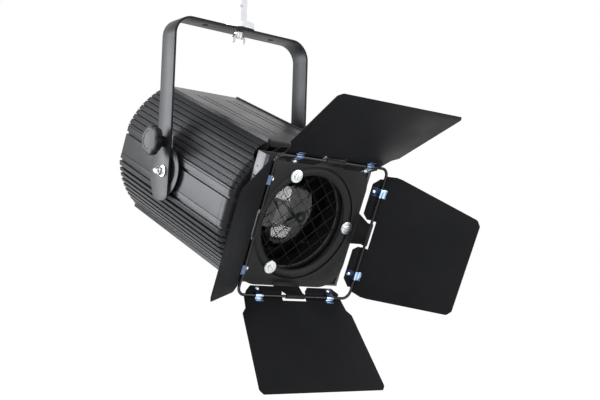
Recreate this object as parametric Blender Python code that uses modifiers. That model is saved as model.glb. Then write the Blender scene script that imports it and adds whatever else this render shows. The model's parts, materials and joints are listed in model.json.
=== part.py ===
"""LED theatre spotlight hung from a 28 mm spigot, with a turning four-leaf barn door.

Metres, +Z up. The origin is the centre of the spigot's top end face. X runs along the
yoke's crossbar, and the lamp looks towards -Y, tilted down by TILT_REST.
All of the lamp is placed under the optical_axis empty: there X runs across, Y up and Z
forwards along the beam, and the origin is the middle of the tilt pivot.
"""

import math

import bmesh
import bpy
from mathutils import Matrix, Vector

for old in list(bpy.data.objects):
    bpy.data.objects.remove(old, do_unlink=True)

# Fits
SEAT_GAP = 0.0003
RUN_GAP = 0.0003
HOLE_GAP = 0.0005
WELD = 0.00001
CUT_OVER = 0.004

# Hanging end
SPIGOT_RADIUS = 0.014
SPIGOT_LENGTH = 0.080
SPIGOT_CHAMFER = 0.0015
SPIGOT_HOLE_RADIUS = 0.0035
SPIGOT_HOLE_HEIGHT = 0.030
SPIGOT_HOLE_TURN = math.radians(-25)
FLANGE_RADIUS = 0.0285
FLANGE_THICKNESS = 0.0115
WING_BOLT_RADIUS = 0.005
WING_BOLT_DEPTH = 0.028
WING_HUB_RADIUS = 0.0085
WING_HUB_HEIGHT = 0.010
WING_SPAN = 0.029
WING_DROP = 0.0195
WING_THICKNESS = 0.003

# Yoke
YOKE_HEIGHT = 0.273
BAR_WIDTH = 0.040
BAR_THICKNESS = 0.004
BEND_RADIUS = 0.036
BAR_HOLE_RADIUS = 0.0055
BAR_HOLE_SPREAD = 0.146
FOOT_TOP = 0.072
FOOT_BULGE = 0.042
FOOT_BULGE_TOP = 0.010
FOOT_BULGE_LOW = 0.005
FOOT_FRONT = 0.0163
FOOT_END_RADIUS = 0.050
FOOT_END_Z = -0.041

# Tilt pivot and clamp
TILT_REST = math.radians(23.18)
PIVOT_BOLT_RADIUS = 0.004
PIVOT_HEAD_RADIUS = 0.0075
PIVOT_HEAD_HEIGHT = 0.0075
PIVOT_DOME_RADIUS = 0.006
PIVOT_DOME_HEIGHT = 0.0085
PIVOT_BOLT_END = 0.0035
WASHER_RADIUS = 0.010
WASHER_THICKNESS = 0.0016
DISC_RADIUS = 0.042
DISC_THICKNESS = 0.0025
DISC_STANDOFF = 0.0043
DISC_FLOOR_RADIUS = 0.026
DISC_RIM_RADIUS = 0.031
DISC_TO_LEG = 0.0007
CLAMP_HEIGHT = 0.0505
CLAMP_STUD_RADIUS = 0.004
KNOB_RADIUS = 0.0250
KNOB_LOBE = 0.0011
KNOB_LOBES = 6
KNOB_THICKNESS = 0.015
KNOB_NECK_RADIUS = 0.010
KNOB_NECK_LENGTH = 0.0155
KNOB_BORE_DEPTH = 0.022
CLAW_WIDTH = 0.024
CLAW_GRIP = 0.010
CLAW_THICKNESS = 0.0030
CLAW_TOP = 0.012

# Housing
SHELL_RADIUS = 0.1405
SHELL_WALL = 0.010
SHELL_FLAT_DEPTH = 0.0045
SHELL_REAR = -0.172
SHELL_FRONT = 0.196
RAIL_X = 0.0785
RAIL_THICKNESS = 0.003
RAIL_RISE = 0.006053
SHOULDER_FIRST = math.radians(15.3)
SHOULDER_PITCH = math.radians(4.3)
SHOULDER_GROOVES = 9
SHOULDER_GROOVE_WIDTH = 0.0016
SHOULDER_GROOVE_DEPTH = 0.003
BELLY_FIRST = math.radians(19.0)
BELLY_PITCH = math.radians(4.55)
BELLY_GROOVES = 8
BELLY_GROOVE_WIDTH = 0.0048
BELLY_GROOVE_DEPTH = 0.006
# Height, width and depth of each groove in the side flat, top to bottom
FLAT_GROOVES = (
    (0.0324, 0.0012, 0.0012),
    (0.0194, 0.0048, 0.0040),
    (-0.0196, 0.0009, 0.0010),
    (-0.0321, 0.0044, 0.0045),
)
NOTCH_RADIUS = 0.017
NOTCH_REACH = 0.189
COVER_RECESS = 0.0025
COVER_THICKNESS = 0.003
COVER_NOSE_START = 0.1675
COVER_NOSE_RADIUS = 0.0165
COVER_NOSE_TURN = math.radians(62)
VENT_REAR = -0.118
VENT_FRONT = 0.123
VENT_WIDTH = 0.0035
VENT_PLACES = (-0.0400, -0.0240, 0.0240, 0.0400)

# Front and rear plates, bulkhead and rails
BEZEL_REAR = 0.187
BEZEL_THICKNESS = 0.004
APERTURE_RADIUS = 0.0835
COLLAR_WALL = 0.004
COLLAR_REAR = 0.165
PANEL_RECESS = 0.0005
PANEL_THICKNESS = 0.003
BULKHEAD_FRONT = -0.057
BULKHEAD_THICKNESS = 0.003
GUIDE_RADIUS = 0.004
RAIL_INSET = 0.0087
RAIL_ANGLES = tuple(math.radians(a) for a in (33, 147, 213, 327))

# Accessory holder and its catch
HOLDER_BESIDE_RING = 0.0145
HOLDER_SHEET = 0.0015
HOLDER_ABOVE_RING = 0.0085
HOLDER_REAR = 0.1975
HOLDER_FRONT = 0.2215
HOLDER_LIP = 0.006
BOSS_RADIUS = 0.005
BOSS_X = 0.086
BOSS_Y = 0.058
CATCH_HALF = 0.019
CATCH_PIN_RADIUS = 0.0015
CATCH_BARREL = 0.0032
CATCH_PIN_ABOVE = 0.0050
CATCH_PIN_FORWARD = 0.0045
CATCH_SHEET = 0.0018
CATCH_EAR = 0.003
GUARD_RING_RADIUS = 0.0915
GUARD_RING_WIDTH = 0.006
GUARD_RING_THICKNESS = 0.0027
GUARD_WIRE = 0.0012
GUARD_PITCH = 0.022
GUARD_TURN = math.radians(37)

# Barn door
CARRIER_PLAY = 0.0005
CARRIER_THICKNESS = 0.002
RING_INNER_RADIUS = 0.082
RING_WIDTH = 0.015
RING_EDGE = 0.0010
PLATE_RIM = 0.013
PLATE_CORNER = 0.045
PLATE_SHEET = 0.0012
PLATE_BEHIND_ROD = 0.0292
RETAINER_INSET = 0.007
RETAINER_RADIUS = 0.011
RETAINER_THICKNESS = 0.0012
RETAINER_SHANK = 0.0020
RETAINER_SCREW_HEAD = 0.0052
RETAINER_SCREW_HEIGHT = 0.0024
RETAINER_SLOT_WIDTH = 0.0011
RETAINER_SLOT_DEPTH = 0.0012
RETAINER_ANGLES = tuple(math.radians(a) for a in (0, 120, 240))
ROD_RADIUS = 0.0025
ROD_OUTSIDE = 0.0065
ROD_CORNER = 0.014
ROD_FORWARD = 0.252
TAB_HALF_WIDTH = 0.0195
TAB_BASE_HALF_WIDTH = 0.027

# Leaves: sizes along and across the hinge, measured from the rod's axis
LEAF_SHEET = 0.001
LEAF_BEHIND = 0.0034
TONGUE_RISE = 0.0004
TONGUE_LENGTH = 0.018
TONGUE_FOLD = 0.0070
TONGUE_FOOT = 0.0042
TONGUE_INNER = 0.0245
TONGUE_CHAMFER = 0.008
TONGUE_OUTER = 0.097
TONGUE_TIP = 0.085
NOTCH_DEPTH = 0.009
CLIP_PLACE = 0.074
CLIP_WIDTH = 0.015
CLIP_SHEET = 0.0008
CLIP_REACH = 0.0095
RIVET_PLACE = 0.012
RIVET_RADIUS = 0.0015
RIVET_HEAD_RADIUS = 0.0034
RIVET_HEAD_HEIGHT = 0.0024
RIVET_TAIL_RADIUS = 0.0025
RIVET_TAIL_HEIGHT = 0.0012
# Distance from the rod and half width of each corner, hinge to edge
WIDE_LEAF = ((0.0, 0.1010), (0.022, 0.1050), (0.031, 0.1137), (0.1625, 0.1280), (0.1705, 0.1215))
NARROW_LEAF = ((0.0, 0.1040), (0.018, 0.1075), (0.028, 0.1070), (0.165, 0.0842), (0.1722, 0.0753))
# Side turned from the right-hand one, corners and opening from the closed position
LEAVES = {
    "leaf_right": (0, NARROW_LEAF, 125.0),
    "leaf_top": (90, WIDE_LEAF, 136.0),
    "leaf_left": (180, NARROW_LEAF, 138.0),
    "leaf_bottom": (270, WIDE_LEAF, 125.5),
}

# Lens, carriage and focus drive
LENS_RADIUS = 0.0745
LENS_EDGE = 0.004
LENS_DOME = 0.024
LENS_BACK = 0.140
LENS_RING_WALL = 0.0045
LENS_RING_LIP = 0.0011
CARRIAGE_GAP = 0.0015
CARRIAGE_THICKNESS = 0.006
CARRIAGE_APERTURE = 0.068
SPINDLE_RADIUS = 0.006
SPINDLE_OUTSIDE_COLLAR = 0.01214
SPINDLE_ANGLE = math.radians(-38.48)
FOCUS_KNOB_RADIUS = 0.016
FOCUS_KNOB_LENGTH = 0.022
FOCUS_KNOB_BORE = 0.014

# Light engine
SINK_HALF_WIDTH = 0.055
SINK_HALF_HEIGHT = 0.050
SINK_BASE = 0.007
SINK_DEPTH = 0.072
SINK_FINS = 12
SINK_FIN = 0.002
BOARD_RADIUS = 0.028
BOARD_THICKNESS = 0.002
EMITTER_RADIUS = 0.013
EMITTER_HEIGHT = 0.0015
CONE_SMALL_RADIUS = 0.016
CONE_LARGE_RADIUS = 0.046
CONE_LENGTH = 0.046
CONE_WALL = 0.0015
CONE_FLANGE = 0.036
FAN_HALF = 0.040
FAN_DEPTH = 0.025
FAN_BORE = 0.0385
FAN_HUB = 0.015
FAN_WEB = 0.003
FAN_BLADES = 7
FAN_BLADE_THICKNESS = 0.0016
FAN_BLADE_PITCH = math.radians(38)
FAN_TIP_GAP = 0.0015

# Electronics and rear panel fittings
SUPPLY_SIZE = (0.104, 0.034, 0.074)
SUPPLY_ABOVE_COVER = 0.0075
DISPLAY_SIZE = (0.044, 0.018, 0.0035)
DISPLAY_X = -0.018
DISPLAY_BELOW_EDGE = 0.0367
MENU_KNOB_RADIUS = 0.0075
MENU_KNOB_LENGTH = 0.012
MENU_SHAFT_RADIUS = 0.003
MENU_KNOB_X = 0.030
BOARD_SIZE = (0.104, 0.032, 0.0016)
BOARD_X = 0.010
BOARD_BEHIND_PANEL = 0.010
PILLAR_RADIUS = 0.003
INLET_X = -0.062
INLET_ABOVE_EDGE = 0.0407
SOCKET_XS = (-0.021, 0.017)
SOCKET_ABOVE_EDGE = 0.0267
SOCKET_FLANGE = (0.026, 0.031)
SOCKET_FLANGE_THICKNESS = 0.002
SOCKET_BODY_RADIUS = 0.0115
SOCKET_BODY_DEPTH = 0.024
SOCKET_WELL_RADIUS = 0.0092
SOCKET_WELL_DEPTH = 0.014
GRILLE_SLOTS = 7
GRILLE_PITCH = 0.0095
GRILLE_SLOT = 0.0045
GRILLE_RADIUS = 0.0375

# Places worked out from the sizes above
YOKE_TOP = -(SPIGOT_LENGTH + FLANGE_THICKNESS + SEAT_GAP)
PIVOT_HEIGHT = YOKE_TOP - YOKE_HEIGHT
RAIL_OUTER_X = RAIL_X + RAIL_THICKNESS
RAIL_TOP = math.sqrt(SHELL_RADIUS ** 2 - RAIL_OUTER_X ** 2) + RAIL_RISE
COVER_FACE = RAIL_TOP - COVER_RECESS
SHELL_INNER_RADIUS = SHELL_RADIUS - SHELL_WALL
SHELL_FLAT_X = SHELL_RADIUS - SHELL_FLAT_DEPTH
DISC_INNER = SHELL_FLAT_X + DISC_STANDOFF
DISC_OUTER = DISC_INNER + DISC_THICKNESS
LEG_INNER = DISC_OUTER + DISC_TO_LEG
LEG_OUTER = LEG_INNER + BAR_THICKNESS
PLATE_RADIUS = SHELL_INNER_RADIUS - SEAT_GAP
COVER_INNER = COVER_FACE - COVER_THICKNESS
PLATE_FLAT = COVER_INNER - SEAT_GAP
RAIL_CIRCLE = PLATE_RADIUS - RAIL_INSET
SPINDLE_CIRCLE = APERTURE_RADIUS + COLLAR_WALL + SPINDLE_OUTSIDE_COLLAR
SPINDLE_X = SPINDLE_CIRCLE * math.cos(SPINDLE_ANGLE)
SPINDLE_Y = SPINDLE_CIRCLE * math.sin(SPINDLE_ANGLE)
SUPPLY_Y = SUPPLY_SIZE[1] / 2 + SUPPLY_ABOVE_COVER - COVER_INNER
DISPLAY_PLACE = (DISPLAY_X, PLATE_FLAT - DISPLAY_BELOW_EDGE)
INLET_PLACE = (INLET_X, INLET_ABOVE_EDGE - PLATE_FLAT)
SOCKET_PLACES = tuple((x, SOCKET_ABOVE_EDGE - PLATE_FLAT) for x in SOCKET_XS)
BEZEL_FRONT = BEZEL_REAR + BEZEL_THICKNESS
PANEL_REAR = SHELL_REAR + PANEL_RECESS
PANEL_FRONT = PANEL_REAR + PANEL_THICKNESS
BULKHEAD_REAR = BULKHEAD_FRONT - BULKHEAD_THICKNESS
RING_OUTER_RADIUS = RING_INNER_RADIUS + RING_WIDTH
RETAINER_CIRCLE = RING_OUTER_RADIUS - RETAINER_INSET
PLATE_HALF = RING_OUTER_RADIUS + PLATE_RIM
ROD_SPAN = 2 * (PLATE_HALF + ROD_OUTSIDE)
HOLDER_HALF = RING_OUTER_RADIUS + HOLDER_BESIDE_RING
HOLDER_HALF_HEIGHT = RING_OUTER_RADIUS + HOLDER_ABOVE_RING
CARRIER_HALF = HOLDER_HALF - HOLDER_SHEET - CARRIER_PLAY
HOLDER_FACE = HOLDER_REAR + HOLDER_SHEET
LIP_REAR = HOLDER_FRONT - HOLDER_SHEET
CARRIER_FRONT = LIP_REAR - SEAT_GAP
CARRIER_REAR = CARRIER_FRONT - CARRIER_THICKNESS
PLATE_MIDDLE = ROD_FORWARD - PLATE_BEHIND_ROD
PLATE_FRONT = PLATE_MIDDLE + PLATE_SHEET / 2
PLATE_REAR = PLATE_MIDDLE - PLATE_SHEET / 2
RETAINER_REAR = PLATE_FRONT + RUN_GAP
CARRIAGE_FRONT = LENS_BACK - SEAT_GAP
CARRIAGE_REAR = CARRIAGE_FRONT - CARRIAGE_THICKNESS
SINK_FRONT = BULKHEAD_REAR - SEAT_GAP
FAN_REAR = PANEL_FRONT + SEAT_GAP
FAN_FRONT = FAN_REAR + FAN_DEPTH

spotlight = bpy.data.collections.new("led_theatre_spotlight")
cutters = bpy.data.collections.new("cutters")
bpy.context.scene.collection.children.link(spotlight)
bpy.context.scene.collection.children.link(cutters)


def finish(name, colour, roughness, metallic):
    """A material with one Principled BSDF."""
    material = bpy.data.materials.new(name)
    material.use_nodes = True
    shader = material.node_tree.nodes["Principled BSDF"]
    shader.inputs["Base Color"].default_value = (*colour, 1)
    shader.inputs["Roughness"].default_value = roughness
    shader.inputs["Metallic"].default_value = metallic
    return material


BLACK_COAT = finish("black_powder_coat", (0.022, 0.022, 0.024), 0.42, 0.0)
LEAF_BLACK = finish("leaf_matte_black", (0.016, 0.016, 0.017), 0.55, 0.0)
INNER_BLACK = finish("inner_black", (0.008, 0.008, 0.009), 0.7, 0.0)
KNOB_BLACK = finish("knob_plastic", (0.02, 0.02, 0.021), 0.45, 0.0)
ZINC = finish("zinc_plate", (0.66, 0.68, 0.70), 0.28, 1.0)
BLUE_ZINC = finish("blue_zinc", (0.50, 0.62, 0.80), 0.25, 1.0)
BARE_ALUMINIUM = finish("bare_aluminium", (0.72, 0.73, 0.74), 0.35, 1.0)
GLASS = finish("lens_glass", (0.92, 0.95, 0.96), 0.02, 0.0)
BOARD_GREEN = finish("circuit_board", (0.03, 0.12, 0.06), 0.5, 0.0)
EMITTER_YELLOW = finish("led_emitter", (0.85, 0.70, 0.25), 0.4, 0.0)
DISPLAY_DARK = finish("display_window", (0.02, 0.03, 0.035), 0.12, 0.0)


def hang(obj, parent, place, turn):
    """Puts an object under its parent at a place and turn in the parent's frame."""
    obj.parent = parent
    obj.location = place
    obj.rotation_euler = turn


def empty(name, parent=None, place=(0, 0, 0), turn=(0, 0, 0)):
    """An axis that pieces are placed from."""
    axis = bpy.data.objects.new(name, None)
    spotlight.objects.link(axis)
    hang(axis, parent, place, turn)
    return axis


def solid(name, mesh, coat, parent, place=(0, 0, 0), turn=(0, 0, 0)):
    """A piece from a mesh, or a cutter where it has no coat."""
    piece = bpy.data.objects.new(name, mesh)
    if coat is None:
        cutters.objects.link(piece)
        piece.hide_render = True
        piece.display_type = "WIRE"
    else:
        spotlight.objects.link(piece)
        if coat.name not in mesh.materials:
            mesh.materials.append(coat)
    hang(piece, parent, place, turn)
    return piece


def mesh_from(shape, name, smooth=True):
    """The mesh of a bmesh, shaded smooth where its faces meet at a low angle."""
    mesh = bpy.data.meshes.new(name)
    shape.to_mesh(mesh)
    shape.free()
    if smooth:
        mesh.shade_smooth()
        mesh.set_sharp_from_angle(angle=math.radians(35))
    return mesh


def evaluated_mesh(source):
    """The mesh of an object with its modifiers or curve settings applied."""
    graph = bpy.context.evaluated_depsgraph_get()
    return bpy.data.meshes.new_from_object(source.evaluated_get(graph))


def block(name, size, coat, parent, place=(0, 0, 0), turn=(0, 0, 0)):
    """A box of a size, centred on its place."""
    shape = bmesh.new()
    bmesh.ops.create_cube(shape, size=1, matrix=Matrix.Diagonal((*size, 1)))
    return solid(name, mesh_from(shape, name, smooth=False), coat, parent, place, turn)


def blocks(name, sizes_and_places, coat, parent):
    """Several boxes as separate solids of one object."""
    shape = bmesh.new()
    for size, place in sizes_and_places:
        move = Matrix.Translation(place) @ Matrix.Diagonal((*size, 1))
        bmesh.ops.create_cube(shape, size=1, matrix=move)
    return solid(name, mesh_from(shape, name, smooth=False), coat, parent)


def rods(name, radius, low, high, centres, coat, parent, sides=16, turn=(0, 0, 0)):
    """Cylinders along Z from low to high, one at each centre, as separate solids."""
    shape = bmesh.new()
    for x, y in centres:
        move = Matrix.Translation((x, y, (low + high) / 2))
        bmesh.ops.create_cone(
            shape, cap_ends=True, segments=sides, radius1=radius, radius2=radius,
            depth=high - low, matrix=move,
        )
    return solid(name, mesh_from(shape, name), coat, parent, (0, 0, 0), turn)


def turned(name, profile, coat, parent, closed=False, steps=48, place=(0, 0, 0), turn=(0, 0, 0)):
    """A shape turned about Z from (radius, height) points that run down its outer side."""
    mesh = bpy.data.meshes.new(name)
    edges = [(i, i + 1) for i in range(len(profile) - 1)]
    if closed:
        edges.append((len(profile) - 1, 0))
    mesh.from_pydata([(radius, 0, height) for radius, height in profile], edges, [])
    piece = solid(name, mesh, coat, parent, place, turn)
    screw = piece.modifiers.new("turn", "SCREW")
    screw.steps = steps
    screw.render_steps = steps
    screw.use_merge_vertices = True
    screw.merge_threshold = WELD
    return piece


def plate(name, outlines, low, high, coat, parent, place=(0, 0, 0), turn=(0, 0, 0)):
    """A flat outline with its holes, as thick as low to high along Z."""
    curve = bpy.data.curves.new(name, "CURVE")
    curve.dimensions = "2D"
    curve.fill_mode = "BOTH"
    curve.extrude = (high - low) / 2
    for outline in outlines:
        spline = curve.splines.new("POLY")
        spline.points.add(len(outline) - 1)
        for point, (x, y) in zip(spline.points, outline):
            point.co = (x, y, 0, 1)
        spline.use_cyclic_u = True
    guide = bpy.data.objects.new(name, curve)
    cutters.objects.link(guide)
    flat = evaluated_mesh(guide)
    bpy.data.objects.remove(guide, do_unlink=True)
    shape = bmesh.new()
    shape.from_mesh(flat)
    bmesh.ops.remove_doubles(shape, verts=shape.verts, dist=WELD)
    bmesh.ops.recalc_face_normals(shape, faces=shape.faces)
    bmesh.ops.translate(shape, verts=shape.verts, vec=(0, 0, (low + high) / 2))
    return solid(name, mesh_from(shape, name), coat, parent, place, turn)


def sheet(name, rows, thickness, coat, parent, place=(0, 0, 0), turn=(0, 0, 0)):
    """Bent sheet metal: rows of points across it, joined row by row, given a thickness.

    Each row holds spans of points; spans with the same number in neighbouring rows join.
    """
    shape = bmesh.new()
    made = []
    for spans in rows:
        made.append([[shape.verts.new(point) for point in span] for span in spans])
    for row, following in zip(made, made[1:]):
        for span, other in zip(row, following):
            for a, b, c, d in zip(span, span[1:], other[1:], other):
                shape.faces.new((a, b, c, d))
    bmesh.ops.remove_doubles(shape, verts=shape.verts, dist=WELD)
    bmesh.ops.recalc_face_normals(shape, faces=shape.faces)
    piece = solid(name, mesh_from(shape, name, smooth=False), coat, parent, place, turn)
    wall = piece.modifiers.new("thickness", "SOLIDIFY")
    wall.thickness = thickness
    wall.offset = 0
    wall.use_even_offset = True
    return piece


def boolean(target, other, operation):
    """Cuts another shape from the target, or joins it on."""
    step = target.modifiers.new(operation.lower(), "BOOLEAN")
    step.operation = operation
    step.solver = "EXACT"
    step.object = other
    return target


def cut(target, *others):
    """Cuts shapes from a piece."""
    for other in others:
        boolean(target, other, "DIFFERENCE")
    return target


def join(target, *others):
    """Joins shapes to a piece as one solid."""
    for other in others:
        boolean(target, other, "UNION")
    return target


def repeat(names, source, moves, coat, parent):
    """One object for each name, all of the source's shape; the source is used up."""
    mesh = evaluated_mesh(source)
    bpy.data.objects.remove(source, do_unlink=True)
    mesh.shade_smooth()
    mesh.set_sharp_from_angle(angle=math.radians(35))
    for name, move in zip(names, moves):
        solid(name, mesh, coat, parent, move.to_translation(), move.to_euler())


def arc(x, y, radius, start, end, count):
    """Points on a circle from a start to an end angle, both included."""
    step = (end - start) / (count - 1)
    return [
        (x + radius * math.cos(start + i * step), y + radius * math.sin(start + i * step))
        for i in range(count)
    ]


def circle(x, y, radius, count):
    """Points all round a circle."""
    return arc(x, y, radius, 0, math.tau * (count - 1) / count, count)


def box_outline(x, y, width, height):
    """A rectangle centred on a place."""
    return [
        (x - width / 2, y - height / 2), (x + width / 2, y - height / 2),
        (x + width / 2, y + height / 2), (x - width / 2, y + height / 2),
    ]


def rounded_square(half, radius, count):
    """A square outline with round corners."""
    points = []
    for quarter in range(4):
        turn = quarter * math.pi / 2
        x = (half - radius) * math.sqrt(2) * math.cos(turn + math.pi / 4)
        y = (half - radius) * math.sqrt(2) * math.sin(turn + math.pi / 4)
        points += arc(x, y, radius, turn, turn + math.pi / 2, count)
    return points


def inner_outline(gap=0.0, count=14):
    """The housing's inner round, flattened above and below where the covers lie."""
    edge = math.asin((PLATE_FLAT - gap) / (PLATE_RADIUS - gap))
    right = arc(0, 0, PLATE_RADIUS - gap, -edge, edge, count)
    return right + [(-x, -y) for x, y in right]


def polar(radius, angle):
    """A point at a radius and angle."""
    return radius * math.cos(angle), radius * math.sin(angle)


TO_LEFT = (0, -math.pi / 2, 0)
TO_RIGHT = (0, math.pi / 2, 0)


def make_hanging_end():
    """The spigot with its flange, and the wing bolt that draws it down on the yoke."""
    foot = -SPIGOT_LENGTH
    profile = [
        (0, 0), (SPIGOT_RADIUS - SPIGOT_CHAMFER, 0), (SPIGOT_RADIUS, -SPIGOT_CHAMFER),
        (SPIGOT_RADIUS, foot), (FLANGE_RADIUS - SPIGOT_CHAMFER, foot),
        (FLANGE_RADIUS, foot - SPIGOT_CHAMFER), (FLANGE_RADIUS, foot - FLANGE_THICKNESS),
        (WING_BOLT_RADIUS + SEAT_GAP, foot - FLANGE_THICKNESS),
        (WING_BOLT_RADIUS + SEAT_GAP, foot - FLANGE_THICKNESS + WING_BOLT_DEPTH + SEAT_GAP),
        (0, foot - FLANGE_THICKNESS + WING_BOLT_DEPTH + SEAT_GAP),
    ]
    spigot = turned("spigot", profile, ZINC, None, steps=28)
    pin_hole = rods("spigot_pin_hole", SPIGOT_HOLE_RADIUS, -SPIGOT_RADIUS - CUT_OVER,
                    SPIGOT_RADIUS + CUT_OVER, [(0, 0)], None, None, 14,
                    (math.pi / 2, 0, SPIGOT_HOLE_TURN))
    pin_hole.location.z = foot + SPIGOT_HOLE_HEIGHT
    cut(spigot, pin_hole)

    hub_top = YOKE_TOP - BAR_THICKNESS - SEAT_GAP
    wing_axis = empty("wing_bolt_axis", None, (0, 0, hub_top))
    tip = foot - FLANGE_THICKNESS + WING_BOLT_DEPTH - hub_top
    bolt = turned("wing_bolt", [
        (0, tip), (WING_BOLT_RADIUS, tip), (WING_BOLT_RADIUS, 0), (WING_HUB_RADIUS, 0),
        (WING_HUB_RADIUS * 0.8, -WING_HUB_HEIGHT), (0, -WING_HUB_HEIGHT),
    ], ZINC, wing_axis, steps=24)
    reach = WING_SPAN / 2
    inner = WING_HUB_RADIUS * 0.4
    wing = [
        (inner, -WING_HUB_HEIGHT * 0.9), (inner, -0.002), (WING_HUB_RADIUS * 0.9, -0.002),
        (reach - 0.002, -WING_HUB_HEIGHT * 0.7), (reach, -WING_HUB_HEIGHT),
        (reach, -WING_DROP * 0.85), (reach - 0.002, -WING_DROP), (reach - 0.006, -WING_DROP),
        (reach - 0.0075, -WING_HUB_HEIGHT * 1.15),
    ]
    for side, name in ((1, "wing_right"), (-1, "wing_left")):
        outline = [(side * x, z) for x, z in wing]
        join(bolt, plate(name, [outline], -WING_THICKNESS / 2, WING_THICKNESS / 2, None,
                         wing_axis, (0, 0, 0), (math.pi / 2, 0, 0)))


def foot_edges(z):
    """Front and rear edge of the yoke's leg at a height above the pivot."""
    half = BAR_WIDTH / 2
    if z >= FOOT_TOP:
        return -half, half
    round_end = math.sqrt(FOOT_END_RADIUS ** 2 - min(z, FOOT_END_Z) ** 2)
    if z < FOOT_END_Z:
        return -min(FOOT_FRONT, round_end * 0.65), round_end
    front = -half + (half - FOOT_FRONT) * (FOOT_TOP - z) / (FOOT_TOP - FOOT_END_Z)
    if z >= FOOT_BULGE_TOP:
        part = (FOOT_TOP - z) / (FOOT_TOP - FOOT_BULGE_TOP)
        return front, half + (FOOT_BULGE - half) * part
    if z >= -FOOT_BULGE_LOW:
        return front, FOOT_BULGE
    part = (-FOOT_BULGE_LOW - z) / (-FOOT_BULGE_LOW - FOOT_END_Z)
    return front, FOOT_BULGE + (round_end - FOOT_BULGE) * part


def make_yoke(pan_axis):
    """The bent flat bar, from the middle of the crossbar down one leg, mirrored."""
    half = BAR_WIDTH / 2
    middle = BAR_THICKNESS / 2
    path = [(0, YOKE_HEIGHT - middle)]
    bend = arc(LEG_OUTER - BEND_RADIUS, YOKE_HEIGHT - BEND_RADIUS, BEND_RADIUS - middle,
               math.pi / 2, 0, 9)
    path += bend
    heights = [FOOT_TOP, FOOT_BULGE_TOP, -FOOT_BULGE_LOW, FOOT_END_Z]
    heights += [-FOOT_END_RADIUS * math.sin(math.radians(a)) for a in (62, 69, 75, 81, 86)]
    path += [(LEG_OUTER - middle, z) for z in heights]
    rows = []
    for x, z in path:
        front, rear = (-half, half) if x < LEG_OUTER - middle * 1.01 else foot_edges(z)
        rows.append([[(x, front, z), (x, rear, z)]])
    yoke = sheet("yoke", rows, BAR_THICKNESS, BLACK_COAT, pan_axis)
    mirror = yoke.modifiers.new("other_leg", "MIRROR")
    mirror.use_clip = True
    mirror.merge_threshold = WELD
    yoke.modifiers.move(1, 0)

    cut(yoke, rods("yoke_bar_holes", BAR_HOLE_RADIUS, YOKE_HEIGHT - BAR_THICKNESS - CUT_OVER,
                   YOKE_HEIGHT + CUT_OVER, [(-BAR_HOLE_SPREAD / 2, 0), (0, 0),
                                            (BAR_HOLE_SPREAD / 2, 0)], None, pan_axis, 20))
    cut(yoke, rods("yoke_pivot_hole", PIVOT_BOLT_RADIUS + HOLE_GAP, -LEG_OUTER - CUT_OVER,
                   LEG_OUTER + CUT_OVER, [(0, 0)], None, pan_axis, 20, TO_RIGHT))
    clamp_hole = rods("yoke_clamp_hole", CLAMP_STUD_RADIUS + HOLE_GAP, LEG_INNER - CUT_OVER,
                      LEG_OUTER + CUT_OVER, [(0, 0)], None, pan_axis, 20, TO_LEFT)
    clamp_hole.location.z = CLAMP_HEIGHT
    cut(yoke, clamp_hole)

    washer = plate("washer", [circle(0, 0, WASHER_RADIUS, 28),
                              circle(0, 0, PIVOT_BOLT_RADIUS + HOLE_GAP, 20)],
                   LEG_OUTER + SEAT_GAP, LEG_OUTER + SEAT_GAP + WASHER_THICKNESS, None, None)
    sides = [Matrix.Rotation(math.pi / 2, 4, "Y"), Matrix.Rotation(-math.pi / 2, 4, "Y")]
    names = ("pivot_washer_right", "pivot_washer_left")
    repeat(names, washer, sides, ZINC, pan_axis)


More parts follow.
